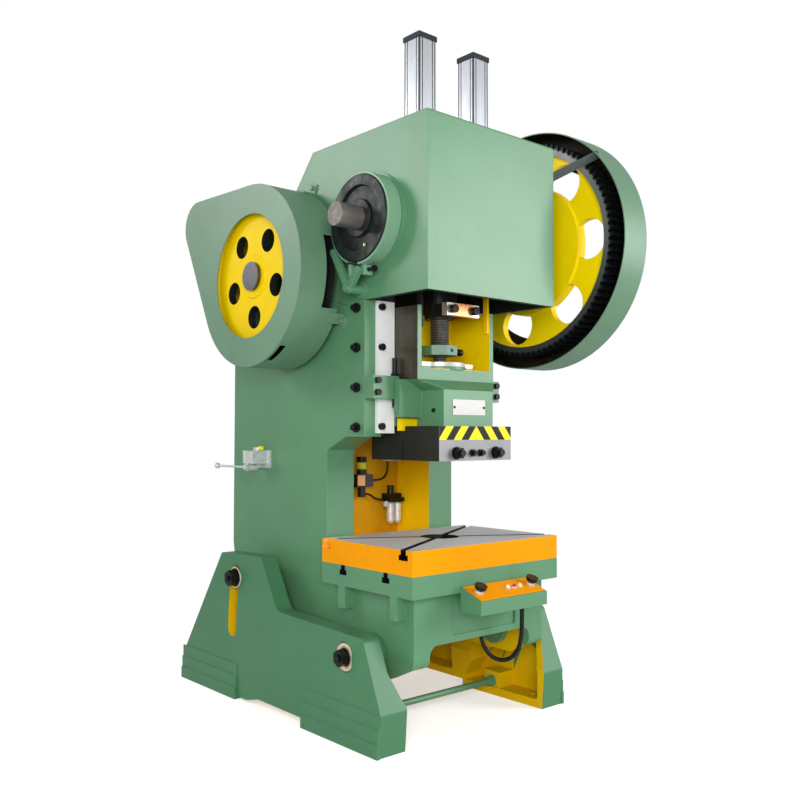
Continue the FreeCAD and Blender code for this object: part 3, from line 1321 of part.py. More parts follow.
def turned_block(name, low_x, high_x, angle, near, far, half_wide):
    """A block beside the belt guard's drum, at an angle round the flywheel shaft."""
    item = doc.addObject("Part::Box", name)
    bind(item, "Length", size(high_x) - low_x)
    bind(item, "Width", size(far) - near)
    bind(item, "Height", 2 * half_wide)
    angle = math.radians(angle)
    y = drive_y + size(near) * math.cos(angle) + half_wide * math.sin(angle)
    z = drive_z + size(near) * math.sin(angle) - half_wide * math.cos(angle)
    return put(item, low_x, y, z, FreeCAD.Rotation(Vector(1, 0, 0), math.degrees(angle)))


drum = s.flywheel_radius + 35
belt_guard = make_guard("belt_guard_drum", -s.frame_half - 26, -flywheel_far - 15,
                        (drive_y, drive_z, drum),
                        (motor_y, motor_z, s.pulley_radius + 26),
                        (drive_y, drive_z, 228))
# The front of its band is cut back beside the brake, and it has a slot near the bottom.
brake_notch = block("brake_notch", (-s.frame_half - 97, drive_y - 345, drive_z - 138),
                    (-s.frame_half - 20, drive_y - 240, drive_z + 118))
guard_slot = turned_block("guard_slot_box", -flywheel_far - 5, -flywheel_far + 21, 243,
                          drum - 30, drum + 30, 55)
node("belt_guard", cut("belt_guard", belt_guard, brake_notch, guard_slot))

gear_guard_far = gear_far + 50
guard_ring = gear_pitch + s.gear_module + 47
pinion_ring = pinion_pitch + s.gear_module + 34
gear_guard = node("gear_guard", make_guard("gear_guard_drum", gear_near + 10, gear_guard_far,
                                           (s.die_axis, s.crank_height, guard_ring),
                                           (drive_y, drive_z, pinion_ring),
                                           (s.die_axis, s.crank_height, 385)))


def bar_between(name, start, end, wide, thick):
    """A flat bar from one point to another."""
    a, b = Vector(*start), Vector(*end)
    item = doc.addObject("Part::Box", name)
    item.Length = (b - a).Length
    item.Width = wide
    item.Height = thick
    turn = FreeCAD.Rotation(Vector(1, 0, 0), b - a)
    item.Placement = FreeCAD.Placement(a - turn.multVec(Vector(0, wide / 2, thick / 2)), turn)
    return item


guard_start = gear_near.value + 10
stays = []
for i, (y, z, angle) in enumerate(((-686, 1948, 136.5), (-200, 2020, 66), (36, 1470, 0))):
    if i < 2:
        rim = guard_ring.value - 2
        end_y = s.die_axis.value + rim * math.cos(math.radians(angle))
        end_z = s.crank_height.value + rim * math.sin(math.radians(angle))
    else:
        end_y, end_z = drive_y.value, drive_z.value - pinion_ring.value + 2
    stays.append(bar_between("stay_%d" % i, (s.frame_half.value - 2, y, z),
                             (guard_start + 20, end_y, end_z), 8, 30))
inside_frame = block("stay_trim", (0, s.head_front, 1300), (s.frame_half, s.body_back, s.head_top))
stays = [cut("guard_stay_%d" % i, stay, inside_frame, gear_guard) for i, stay in enumerate(stays)]


# The first stay stands at 110 degrees, or just past the place where the guard leaves the drum for the motor.
run_y, run_z = motor_y.value - drive_y.value, motor_z.value - drive_z.value
leaves_drum = math.degrees(math.atan2(run_z, run_y) + math.acos(
    (drum.value - s.pulley_radius.value - 26) / math.hypot(run_y, run_z)))
for i, angle in enumerate((max(110, leaves_drum + 4), 210, 315)):
    stays.append(fuse("drum_stay_%d" % i,
                      turned_block("drum_stay_foot_%d" % i, -s.frame_half - 6, -s.frame_half, angle,
                                   drum + s.seat_gap, drum + 40, 20),
                      turned_block("drum_stay_web_%d" % i, -s.frame_half - 56, -s.frame_half, angle,
                                   drum + s.seat_gap, drum + 6, 20),
                      rod("drum_stay_bolt_%d" % i, 9, 12, -s.frame_half - 17,
                          drive_y + (drum + 23) * math.cos(math.radians(angle)),
                          drive_z + (drum + 23) * math.sin(math.radians(angle)))))
node("guard_stays", group("guard_stays", stays))

# ---------------------------------------------------------------- balance cylinders

barrel_half = s.cylinder_side / 2
cap_half = barrel_half + 4
piston_rest = s.head_top + 24 + s.screw_travel + 10
barrels, ends, rods, links = [], [], [], []
for sign, side in SIDES:
    x = sign * s.cylinder_x
    barrels.append(cut("barrel_" + side,
                       block("barrel_blank_" + side,
                             (x - barrel_half, s.cylinder_y - barrel_half, s.head_top + 24),
                             (x + barrel_half, s.cylinder_y + barrel_half,
                              s.head_top + s.cylinder_high - 18)),
                       rod("barrel_bore_" + side, 32.3, 600, x, s.cylinder_y, s.head_top, ALONG_Z)))
    foot = cut("barrel_foot_" + side,
               block("foot_blank_" + side, (x - cap_half, s.cylinder_y - cap_half, s.head_top),
                     (x + cap_half, s.cylinder_y + cap_half, s.head_top + 24)),
               rod("foot_bore_" + side, 10.3, 80, x, s.cylinder_y, s.head_top - 20, ALONG_Z))
    lid = block("barrel_lid_" + side,
                (x - cap_half, s.cylinder_y - cap_half, s.head_top + s.cylinder_high - 18),
                (x + cap_half, s.cylinder_y + cap_half, s.head_top + s.cylinder_high))
    ends += [foot, lid]
    tab_z = s.crank_height + s.journal + s.screw_travel + 18
    rods.append(fuse("balance_rod_" + side,
                     rod("rod_bar_" + side, 10, piston_rest + 10 - tab_z, x, s.cylinder_y, tab_z, ALONG_Z),
                     rod("rod_piston_" + side, 32, 20, x, s.cylinder_y, piston_rest, ALONG_Z)))
    wall_in = s.slide_half - 19
    low_x, high_x = (wall_in - 10, wall_in) if sign > 0 else (-wall_in, -wall_in + 10)
    tab_low, tab_high = (x - 15, wall_in) if sign > 0 else (-wall_in, x + 15)
    links.append(fuse("balance_link_" + side,
                      block("link_strap_" + side, (low_x, s.die_axis - 86, slide_high - 75),
                            (high_x, s.die_axis - 66, tab_z)),
                      block("link_tab_" + side, (tab_low, s.die_axis - 86, tab_z - 12),
                            (tab_high, s.cylinder_y + 16, tab_z))))
node("cylinder_barrels", group("cylinder_barrels", barrels))
node("cylinder_heads", group("cylinder_heads", ends))
node("balance_pistons", group("balance_pistons", rods))
node("balance_links", group("balance_links", links))

# ---------------------------------------------------------------- frame clamping bolts

clamp_left = big_bolt("slot_bolt_left", -leg_out - s.fit_gap, -s.frame_half + 60, clamp_y, clamp_z,
                      16, 52, 34)
node("slot_bolts", group("slot_bolts", [clamp_left, mirrored("slot_bolt_right", clamp_left)]))

# ---------------------------------------------------------------- control box

box_left, box_right = -143, 184
box_front = s.bolster_front - 95
box_low = s.table_top - 134
box_back_high = box_low + 82
box_front_high = box_low + 44
panel_tilt = math.degrees(math.atan2(38, 95))
PANEL = FreeCAD.Rotation(Vector(1, 0, 0), panel_tilt)
panel_run = 95 / math.cos(math.radians(panel_tilt))


def make_box():
    body = new_body("control_box_cast")
    sketch = new_sketch(body, "control_box_side", "YZ", (box_left + box_right) / 2)
    outline(sketch, [(s.bolster_front, box_low), (s.bolster_front, box_back_high),
                     (box_front, box_front_high), (box_front, box_low)])
    slab(body, sketch, box_right - box_left)
    return body


def on_panel(item, x, up, off):
    """Places an item on the sloping panel: so far up it from its front edge, so far off it."""
    tilt = math.radians(panel_tilt)
    y = box_front + up * math.cos(tilt) - off * math.sin(tilt)
    z = box_front_high + up * math.sin(tilt) + off * math.cos(tilt)
    return put(item, x, y, z, PANEL)


def panel_rod(name, radius, height, x, up, off):
    item = doc.addObject("Part::Cylinder", name)
    bind(item, "Radius", radius)
    bind(item, "Height", height)
    return on_panel(item, x, up, off)


PALMS = ((-105, "left"), (150, "right"))
SMALL = (34, 64, 94)
button_up = panel_run / 2
panel_plate = doc.addObject("Part::Box", "panel_blank")
for prop, value in (("Length", box_right - box_left - 12), ("Width", panel_run - 12), ("Height", 3)):
    bind(panel_plate, prop, value)
on_panel(panel_plate, box_left + 6, 6, 0)
holes = [panel_rod("palm_hole_%d" % i, 8.3, 60, x, button_up, -38) for i, (x, _) in enumerate(PALMS)]
holes += [panel_rod("small_hole_%d" % i, 6.3, 40, x, button_up, -18) for i, x in enumerate(SMALL)]
node("control_box", cut("control_box", make_box(), *holes))
plate_holes = [panel_rod("plate_palm_hole_%d" % i, 8.3, 60, x, button_up, -38)
               for i, (x, _) in enumerate(PALMS)]
plate_holes += [panel_rod("plate_small_hole_%d" % i, 6.3, 40, x, button_up, -18)
                for i, x in enumerate(SMALL)]
node("control_panel", cut("control_panel", panel_plate, *plate_holes))
fittings = []
for i, (x, _) in enumerate(PALMS):
    fittings.append(cut("palm_collar_%d" % i, panel_rod("palm_collar_blank_%d" % i, 15, 9, x, button_up, 3),
                       panel_rod("palm_collar_hole_%d" % i, 8.3, 60, x, button_up, -38)))
for i, x in enumerate(SMALL):
    fittings.append(cut("small_collar_%d" % i,
                       panel_rod("small_collar_blank_%d" % i, 10.5, 4, x, button_up, 3),
                       panel_rod("small_collar_hole_%d" % i, 6.3, 40, x, button_up, -18)))
for i, (x, side) in enumerate(PALMS):
    node("palm_button_" + side, fuse("palm_button_" + side,
                                     panel_rod("palm_stem_%d" % i, 8, 40, x, button_up, -15),
                                     panel_rod("palm_neck_%d" % i, 19, 5, x, button_up, 18),
                                     panel_rod("palm_cap_%d" % i, 21, 8, x, button_up, 23)))
for i, x in enumerate(SMALL):
    node("push_button_%d" % (i + 1), panel_rod("push_button_%d" % (i + 1), 6, 20, x, button_up, -8))

# ---------------------------------------------------------------- flexible conduit of the control box

HOSE_RADIUS = 7.5
HOSE_POINTS = [(105, -735, 416), (105, -735, 366), (104, -733, 318), (100, -724, 273), (88, -700, 238),
               (72, -667, 227), (56, -635, 238), (44, -610.5, 273), (39, -600, 316), (39, -600, 357.7)]


def hose_path(points):
    """Straight runs joined by tangent arcs, and the radii of those arcs."""
    corners = [Vector(*p) for p in points]
    edges, radii = [], []
    last = corners[0]
    for before, here, after in zip(corners, corners[1:], corners[2:]):
        back, ahead = before - here, after - here
        shorter = min(back.Length, ahead.Length)
        back.normalize()
        ahead.normalize()
        reach = 0.45 * shorter
        half = back.getAngle(ahead) / 2
        radius = reach * math.tan(half)
        entry, leave = here + back * reach, here + ahead * reach
        centre = here + (back + ahead).normalize() * (radius / math.sin(half))
        middle = centre + (here - centre).normalize() * radius
        edges.append(Part.LineSegment(last, entry).toShape())
        edges.append(Part.Arc(entry, middle, leave).toShape())
        radii.append(radius)
        last = leave
    edges.append(Part.LineSegment(last, corners[-1]).toShape())
    return Part.Wire(edges), radii


def make_tube(name, points, radius):
    """A bent tube along a route, from a ring at its first point."""
    path, radii = hose_path(points)
    start, second = Vector(*points[0]), Vector(*points[1])
    ring = Part.Wire([Part.Circle(start, second - start, radius).toShape()])
    solid = path.makePipeShell([ring], True, False)
    ideal = math.pi * radius ** 2 * path.Length
    print("%s length %.1f, radii %s, volume ratio %.4f"
          % (name, path.Length, ", ".join("%.0f" % r for r in radii), solid.Volume / ideal))
    item = doc.addObject("Part::Feature", name)
    item.Shape = solid
    return put(item)


node("control_hose", make_tube("control_hose", HOSE_POINTS, HOSE_RADIUS))
first, last = HOSE_POINTS[0], HOSE_POINTS[-1]
fittings.append(hexagon("gland_box_nut", 26, 8, first[0], first[1], first[2], ALONG_Z))
fittings.append(fuse("gland_frame",
                     rod("gland_frame_nut", 13, 12, last[0], last[1], last[2], ALONG_Z),
                     block("gland_frame_block", (last[0] - 16, s.body_front + 30, last[2] + 11),
                           (last[0] + 16, last[1] + 14, last[2] + 40))))
node("control_fittings", group("control_fittings", fittings))

# ---------------------------------------------------------------- throat plate and air line

plate_front = s.throat_depth + s.die_axis + 190
node("throat_plate", block("throat_plate", (-s.window_half, plate_front, s.window_low),
                           (s.window_half, plate_front + 6, s.window_high)))
node("junction_box", fuse("junction_box",
                          block("junction_case", (100, plate_front - 36, 900), (170, plate_front - 5, 966)),
                          block("junction_back", (107, plate_front - 6, 907), (163, plate_front, 959))))
pipe_y = plate_front.value - 20
AIR_PIPES = [
    [(118, pipe_y, 900), (118, pipe_y, 872), (112, pipe_y, 846), (90, pipe_y, 828), (58, pipe_y, 824),
     (18, pipe_y, 824)],
    [(102, pipe_y, 744), (78, pipe_y, 744), (52, pipe_y, 750), (26, pipe_y, 768), (-8, pipe_y, 774)],
]
valve = [block("valve_body", (-60, plate_front - 46, 800), (20, plate_front, 850)),
         rod("valve_coil", 19, 70, -20, plate_front - 24, 849, ALONG_Z),
         rod("valve_low", 15, 41, -20, plate_front - 24, 760, ALONG_Z)]
valve += [make_tube("air_pipe_%d" % i, points, 4) for i, points in enumerate(AIR_PIPES)]
node("air_valve", fuse("air_valve", *valve))
unit = [block("unit_bracket", (104, plate_front - 40, 748), (176, plate_front, 768)),
        rod("unit_knob", 14, 34, 122, plate_front - 34, 767, ALONG_Z),
        block("unit_bridge", (102, plate_front - 56, 736), (178, plate_front - 12, 752))]
for i, x in enumerate((122, 160)):
    unit.append(rod("unit_neck_%d" % i, 17, 14, x, plate_front - 34, 724, ALONG_Z))
bowls = [fuse("filter_head", *unit)]
for i, x in enumerate((122, 160)):
    bowls.append(fuse("bowl_%d" % i, rod("bowl_wall_%d" % i, 16, 66, x, plate_front - 34, 658, ALONG_Z),
                      cone("bowl_tip_%d" % i, 8, 16, 12, x, plate_front - 34, 647, ALONG_Z)))
node("air_filter", group("air_filter", bowls))

# ---------------------------------------------------------------- hand lubrication pump

pump_x = -s.frame_half
pump_y, pump_z = size(236), size(905)
pump = fuse("pump_shape",
            block("pump_back", (pump_x - 10, pump_y - 45, pump_z - 30), (pump_x, pump_y + 45, pump_z + 40)),
            block("pump_tank", (pump_x - 78, pump_y - 38, pump_z - 12),
                  (pump_x - 9, pump_y + 38, pump_z + 38)),
            rod("pump_filler", 16, 14, pump_x - 44, pump_y - 14, pump_z + 37, ALONG_Z),
            rod("pump_barrel", 15, 43, pump_x - 79, pump_y + 10, pump_z - 26))
node("lube_pump", cut("lube_pump", pump,
                      rod("pump_pivot_hole", 5.05, 70, pump_x - 100, pump_y + 10, pump_z - 26)))
lever_start = pump_x - 75.5
node("pump_lever", fuse("pump_lever",
                        rod("lever_pin", 5, 42, lever_start - 14, pump_y + 10, pump_z - 26),
                        rod("lever_hub", 11, 8, lever_start - 12, pump_y + 10, pump_z - 26),
                        rod("lever_arm", 4.5, 210, lever_start - 8, pump_y + 12, pump_z - 26, ALONG_Y),
                        ball("lever_knob", 12, lever_start - 8, pump_y + 226, pump_z - 26)))

# ---------------------------------------------------------------- checks and export

doc.recompute()
for item in doc.Objects:
    if "Invalid" in item.State or "Error" in item.State:
        raise RuntimeError("%s did not build: %s" % (item.Label, item.State))
os.makedirs("parts", exist_ok=True)
for item in NODES:
    shape = item.Shape
    if shape.isNull() or not shape.isValid() or not shape.Solids:
        raise RuntimeError("%s has no valid solid" % item.Label)
for item in NODES:
    item.Shape.exportStep("parts/%s.step" % item.Label)
print("%d sub-parts written" % len(NODES))
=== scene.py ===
import math

import bmesh
import bpy
from mathutils import Matrix, Vector


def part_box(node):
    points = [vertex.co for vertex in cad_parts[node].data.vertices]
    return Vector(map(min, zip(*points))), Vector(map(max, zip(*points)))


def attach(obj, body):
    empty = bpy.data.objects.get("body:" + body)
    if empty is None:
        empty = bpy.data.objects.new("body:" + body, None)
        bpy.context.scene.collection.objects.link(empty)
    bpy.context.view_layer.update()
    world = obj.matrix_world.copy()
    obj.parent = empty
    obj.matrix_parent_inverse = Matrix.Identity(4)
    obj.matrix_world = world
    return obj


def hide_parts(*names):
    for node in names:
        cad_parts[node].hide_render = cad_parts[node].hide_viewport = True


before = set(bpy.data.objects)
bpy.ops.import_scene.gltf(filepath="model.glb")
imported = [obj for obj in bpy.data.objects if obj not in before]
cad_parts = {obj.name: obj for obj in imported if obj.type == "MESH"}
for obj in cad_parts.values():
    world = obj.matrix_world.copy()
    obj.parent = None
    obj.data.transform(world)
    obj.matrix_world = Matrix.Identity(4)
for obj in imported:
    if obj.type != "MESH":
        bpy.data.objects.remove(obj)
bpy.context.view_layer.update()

MM = 0.001


# ---------------------------------------------------------------- camera

# The view: from the operator's left, a metre above the floor, looking slightly up.
LENS = 40.45
SENSOR = 36.0
EYE = Vector((-2.257, -2.801, 1.0116))
TURN = math.radians(-41.13)
RISE = math.radians(2.13)
ROLL = math.radians(0.11)


def make_camera():
    camera = bpy.data.cameras.new("camera")
    camera.lens = LENS
    camera.sensor_width = SENSOR
    camera.dof.use_dof = False
    stand = bpy.data.objects.new("camera", camera)
    stand.location = EYE
    look = Matrix.Rotation(TURN, 4, "Z") @ Matrix.Rotation(math.pi / 2 + RISE, 4, "X")
    stand.rotation_euler = (look @ Matrix.Rotation(ROLL, 4, "Z")).to_euler()
    bpy.context.scene.collection.objects.link(stand)
    bpy.context.scene.camera = stand


make_camera()


# ---------------------------------------------------------------- places, in metres

# Faces closer to a limit than this lie on it, and a normal this far along an axis is square to it.
SKIN = 0.001
SQUARE = 0.9

# Axes of the crank and the flywheel, and radii on the two wheels.
CRANK_Y = -0.435
CRANK_Z = 1.740
CRANK_LEFT_END = -0.40
GEAR_RIM = 0.382
GEAR_TEETH = 0.390
GEAR_ROOT = 0.403
WHEEL_Y = 0.036
WHEEL_Z = 1.588
WHEEL_HUB = 0.085
WHEEL_HOLES = 0.200
WHEEL_RIM = 0.262
GUARD_SHEET = 0.60
RIGHT_STAYS = 0.3

# The throat: its half width, floor and ceiling.
THROAT_HALF = 0.190
THROAT_FLOOR = 0.600
THROAT_TOP = 1.180

# The space under the table, and the slots in the table's sides.
UNDER_HALF = 0.284
UNDER_TOP = 0.440
UNDER_FRONT = -0.616
UNDER_BACK = 0.395
TABLE_SLOT_LOW = 0.523
TABLE_SLOT_HIGH = 0.557
TABLE_SLOT_FRONT = -0.575
TABLE_SLOT_BACK = -0.300

# The head: its underside, the walls inside it, and the faces behind the slideways.
HEAD_UNDER = 1.474
HEAD_FRONT = -0.686
HEAD_HALF = 0.290
HEAD_CEILING = 2.031
SLIDEWAYS_LOW = 1.19
SLIDEWAY_BACKS = (-0.230, -0.245, -0.330)

# The slide: its guided sides, the oil line on them, and the pocket with the ball's seat.
SLIDE_HALF = 0.189
SLIDE_OILED = 1.199
POCKET_HALF = 0.170
POCKET_BACK = -0.322
POCKET_FLOOR = 1.240
POCKET_LEDGE = 1.250

# The bolster's slots on the left, where the spray gun reached into them.
SPRAYED_RIGHT_END = -0.07
SPRAYED_BEHIND = 0.02
SPRAY_FULL = -0.315
SPRAY_GONE = -0.300

# Fronts of bolt heads and lugs, and levels where one node changes its finish.
CLAMP_BOLTS = -0.5575
COLLAR_LUG = 0.068
FILTER_HEADS = 0.728
PANEL_COLLARS = 0.45

# The balance cylinders' tubes, and the two grooves and the rim on each of their sides.
TUBE_X = 0.1345
TUBE_Y = -0.475
TUBE_GROOVE = 0.024
TUBE_GROOVE_HALF = 0.0022
TUBE_RIM = 0.0335

# The legs: bolts that the frame tilts on and is locked by, and the outline of the left leg's side.
PIVOT_Y = -0.450
PIVOT_Z = 0.281
PIVOT_BOSS = 0.14
PIVOT_SEAT = 0.056
SLOT_BOLT_Y = 0.2331
SLOT_BOLT_Z = 0.4577
LEG_PLATE = 0.4245
LEG_SEAT = 0.44
LEG_WALL = 0.012
LEG_OUTLINE = [(-0.629, 0), (0.637, 0), (0.641, 0.086), (0.616, 0.140), (0.338, 0.544), (0.058, 0.553),
               (-0.052, 0.370), (-0.548, 0.354), (-0.638, 0.130)]

# The ball screw's thread, the warning tape on the slide's flange, and the tape's slanted bars.
THREAD_PITCH = 0.006
TAPE_LOW = 0.990
TAPE_HIGH = 1.037
TAPE_HALF = 0.178
TAPE_FRONT = -0.620
TAPE_LEAN = 0.037 / (TAPE_HIGH - TAPE_LOW)
TAPE_BAR = 0.036
TAPE_FIRST = 0.038


# ---------------------------------------------------------------- shader nodes

def linear(code):
    """Linear colour of an sRGB hex value such as "#7CAD8E"."""
    channels = [int(code[i:i + 2], 16) / 255 for i in (1, 3, 5)]
    curve = [c / 12.92 if c <= 0.04045 else ((c + 0.055) / 1.055) ** 2.4 for c in channels]
    return (*curve, 1.0)


def darker(code, share):
    """Linear colour of a hex value, with each channel times share."""
    return tuple(c * share for c in linear(code)[:3]) + (1.0,)


def fill(material, made, sockets):
    """Fills a node's sockets with values, or links other nodes' sockets to them."""
    for name, value in sockets.items():
        if isinstance(value, bpy.types.NodeSocket):
            material.node_tree.links.new(value, made.inputs[name])
        else:
            made.inputs[name].default_value = value


def add(material, kind, settings=None, sockets=None):
    """Adds a shader node with its own settings, and fills its sockets."""
    made = material.node_tree.nodes.new(kind)
    for name, value in (settings or {}).items():
        setattr(made, name, value)
    fill(material, made, sockets or {})
    return made


def new_material(name):
    """A material with its Principled shader, and the place on the surface in metres."""
    material = bpy.data.materials.new(name)
    material.use_nodes = True
    return material, add(material, "ShaderNodeTexCoord").outputs["Object"]


def set_up(material, sockets):
    """Fills the sockets of the Principled shader."""
    fill(material, material.node_tree.nodes["Principled BSDF"], sockets)
    return material


def compute(material, operation, *values):
    """Result of a Math node, its sockets filled in their order."""
    settings = {"operation": operation}
    return add(material, "ShaderNodeMath", settings, dict(enumerate(values))).outputs["Value"]


def axes(material, place):
    """The X, Y and Z of a place."""
    return add(material, "ShaderNodeSeparateXYZ", sockets={0: place}).outputs


def noise(material, place, grain_mm, detail=3.0, roughness=0.5):
    """Noise whose lumps are about grain_mm across."""
    sockets = {"Vector": place, "Scale": 1000.0 / grain_mm, "Detail": detail, "Roughness": roughness}
    return add(material, "ShaderNodeTexNoise", sockets=sockets).outputs["Fac"]


def spread(material, source, low, high, start=0.3, end=0.7):
    """Maps start to end, by default the middle of a pattern, onto the range low to high."""
    sockets = {"Value": source, "From Min": start, "From Max": end, "To Min": low, "To Max": high}
    return add(material, "ShaderNodeMapRange", sockets=sockets).outputs["Result"]


def mixed(material, share, first, second):
    """The first colour, with a share of the second over it."""
    settings = {"data_type": "RGBA", "blend_type": "MIX"}
    return add(material, "ShaderNodeMix", settings, {0: share, 6: first, 7: second}).outputs[2]


def toned(material, pattern, first, second, most=1.0):
    """The first hex colour where a pattern is low, with up to most of the second where it is high."""
    return mixed(material, spread(material, pattern, 0.0, most), linear(first), linear(second))


def relief(material, height, depth_mm, normal=None):
    """The normal of a surface that a pattern raises by up to depth_mm."""
    sockets = {"Height": height, "Distance": depth_mm * MM, "Strength": 1.0}
    if normal:
        sockets["Normal"] = normal
    return add(material, "ShaderNodeBump", sockets=sockets).outputs["Normal"]


def stretched(material, place, scale):
    """A place scaled along X, Y and Z: under 1 draws a pattern out along that axis."""
    return add(material, "ShaderNodeMapping", sockets={"Vector": place, "Scale": scale}).outputs["Vector"]


def above(material, place, height):
    """One above a height in metres, nothing under it."""
    return compute(material, "GREATER_THAN", axes(material, place)["Z"], height)


# ---------------------------------------------------------------- materials

def enamel(name, colour, painted_edge_highlight, roughness=0.38, casting_mm=0.12, shine=0.5, oil_and_shade_above=None):
    """Two-pack machine enamel, sprayed over filled and rubbed cast iron or plate.

    Its rounded edges are painted a paler colour, a painted highlight along them; it keeps a fine orange peel,
    and the casting under it still waves a little.
    Above oil_and_shade_above, on a guide face, the paint is scraped off and the iron is brown with way oil.
    """
    material, place = new_material(name)
    round_edge = add(material, "ShaderNodeBevel", {"samples": 4}, {"Radius": 2.5 * MM}).outputs["Normal"]
    true_normal = add(material, "ShaderNodeNewGeometry").outputs["Normal"]
    turned = add(material, "ShaderNodeVectorMath", {"operation": "DOT_PRODUCT"},
                 {0: round_edge, 1: true_normal}).outputs["Value"]
    cloud = spread(material, noise(material, place, 260, 2.0), 0.0, 1.0)
    paint = mixed(material, cloud, darker(colour, 0.90), linear(colour))
    grime = spread(material, noise(material, place, 60, 5.0, 0.65), 0.0, 0.10, 0.52, 0.80)
    paint = mixed(material, grime, paint, linear("#3A4238"))
    # Painted highlight: the paler colour is mixed in where the rounded edge turns away from the face.
    skin = mixed(material, spread(material, turned, 0.42, 0.0, 0.80, 0.995), paint, linear(painted_edge_highlight))
    if oil_and_shade_above:
        streaks = noise(material, stretched(material, place, (1.0, 1.0, 0.2)), 24, 4.0)
        iron = toned(material, streaks, "#3A3018", "#20190A")
        skin = mixed(material, above(material, place, oil_and_shade_above), skin, iron)
    swell = relief(material, noise(material, place, 45, 3.0), casting_mm, round_edge)
    return set_up(material, {
        "Base Color": skin,
        "Specular IOR Level": shine,
        "Roughness": spread(material, noise(material, place, 300, 2.0), roughness, roughness + 0.03),
        "Normal": relief(material, noise(material, place, 5, 2.0), 0.10, swell),
        "IOR": 1.5,
        "Coat Weight": 0.05,
        "Coat Roughness": 0.25,
    })


def ground_steel(name, colour, lines, pitch_mm, roughness, metal, oil_and_shade_above=None):
    """Surface-ground steel: bright, with fine parallel lines that stretch its reflections.

    lines is the stretch of the pattern along X, Y and Z; the lines are drawn coarser than real ones to show.
    metal is under 1 where a dull oxide film scatters part of the light; on the strips, near-white with little
    metal stands for the bright shine of the ground steel, a painted reflection. Above the height given last,
    inside the head, it is painted black: painted shade under the head.
    """
    material, place = new_material(name)
    strokes = noise(material, stretched(material, place, lines), pitch_mm, 3.0, 0.6)
    patch = spread(material, noise(material, place, 120, 3.0), 0.0, 1.0)
    deep = darker(colour, 0.82)
    skin = mixed(material, spread(material, strokes, 0.0, 0.60),
                 mixed(material, patch, linear(colour), deep), deep)
    # Painted shade: above the height given, under the head, the steel is painted near-black.
    if oil_and_shade_above:
        skin = mixed(material, above(material, place, oil_and_shade_above), skin, linear("#0F0E0B"))
    return set_up(material, {
        "Base Color": skin,
        "Metallic": metal,
        "Roughness": spread(material, strokes, roughness - 0.06, roughness + 0.10),
        "Normal": relief(material, strokes, 0.03),
    })


def turned_steel(name, colour, roughness, metal=1.0):
    """Turned steel: fine rings left by the tool, a fine film of oil over them."""
    material, place = new_material(name)
    rings = noise(material, stretched(material, place, (1.0, 0.02, 0.02)), 1.5, 2.0)
    film = noise(material, place, 30, 3.0)
    return set_up(material, {
        "Base Color": toned(material, film, colour, "#6B6659", 0.3),
        "Metallic": metal,
        "Roughness": spread(material, film, roughness - 0.06, roughness + 0.12),
        "Normal": relief(material, rings, 0.04),
    })


def oiled_iron(name, colour, shine=0.34):
    """Machined cast iron under dark gear oil: nearly black, with soft wet highlights."""
    material, place = new_material(name)
    film = noise(material, place, 35, 4.0)
    return set_up(material, {
        "Base Color": toned(material, film, colour, "#15171A"),
        "Metallic": 0.35,
        "Roughness": spread(material, film, shine - 0.08, shine + 0.16),
        "Specular IOR Level": 0.3,
        "Normal": relief(material, noise(material, place, 2.2, 2.0), 0.05),
        "Coat Weight": 0.05,
        "Coat Roughness": 0.18,
    })


def oversprayed_iron(name):
    """Slot walls: bare oiled iron made near-black, partly painted shade in the slots' depth, orange from the
    spray gun where the slot runs out at the left.
    """
    material, place = new_material(name)
    ragged = compute(material, "MULTIPLY_ADD", noise(material, place, 9, 3.0), 0.010,
                     axes(material, place)["X"])
    sprayed = spread(material, ragged, 1.0, 0.0, SPRAY_FULL, SPRAY_GONE)
    return set_up(material, {
        "Base Color": mixed(material, sprayed, linear("#141414"), linear("#F89A10")),
        "Roughness": spread(material, noise(material, place, 35, 4.0), 0.45, 0.65),
        "Specular IOR Level": 0.3,
        "Normal": relief(material, noise(material, place, 2.2, 2.0), 0.05),
    })


def black_oxide(name):
    """Black-oxided bolt steel: a soft dark sheen with brown in it and a grain from the forging."""
    material, place = new_material(name)
    grain = noise(material, place, 1.6, 2.0)
    return set_up(material, {
        "Base Color": toned(material, noise(material, place, 14), "#17181A", "#242220"),
        "Metallic": 0.7,
        "Roughness": spread(material, grain, 0.34, 0.50),
        "Normal": relief(material, grain, 0.04),
    })


def turned_bronze(name, bright, dull):
    """Turned bronze or brass: warm metal with turning marks, darkened where oil stands."""
    material, place = new_material(name)
    film = noise(material, place, 18, 3.0)
    rings = noise(material, stretched(material, place, (1.0, 0.03, 0.03)), 1.4, 2.0)
    return set_up(material, {
        "Base Color": toned(material, film, bright, dull, 0.7),
        "Metallic": 1.0,
        "Roughness": spread(material, film, 0.28, 0.42),
        "Normal": relief(material, rings, 0.03),
    })


def oiled_gib(name):
    """Scraped cast-iron guide face under way oil: olive brown and half matt."""
    material, place = new_material(name)
    film = noise(material, stretched(material, place, (1.0, 1.0, 0.25)), 26, 4.0)
    scrapes = add(material, "ShaderNodeTexVoronoi", {"feature": "DISTANCE_TO_EDGE"},
                  {"Vector": place, "Scale": 1000 / 9.0}).outputs["Distance"]
    return set_up(material, {
        "Base Color": toned(material, film, "#4B3F22", "#2C2412"),
        "Metallic": 0.2,
        "Specular IOR Level": 0.3,
        "Roughness": spread(material, film, 0.34, 0.52),
        "Normal": relief(material, scrapes, 0.05),
    })


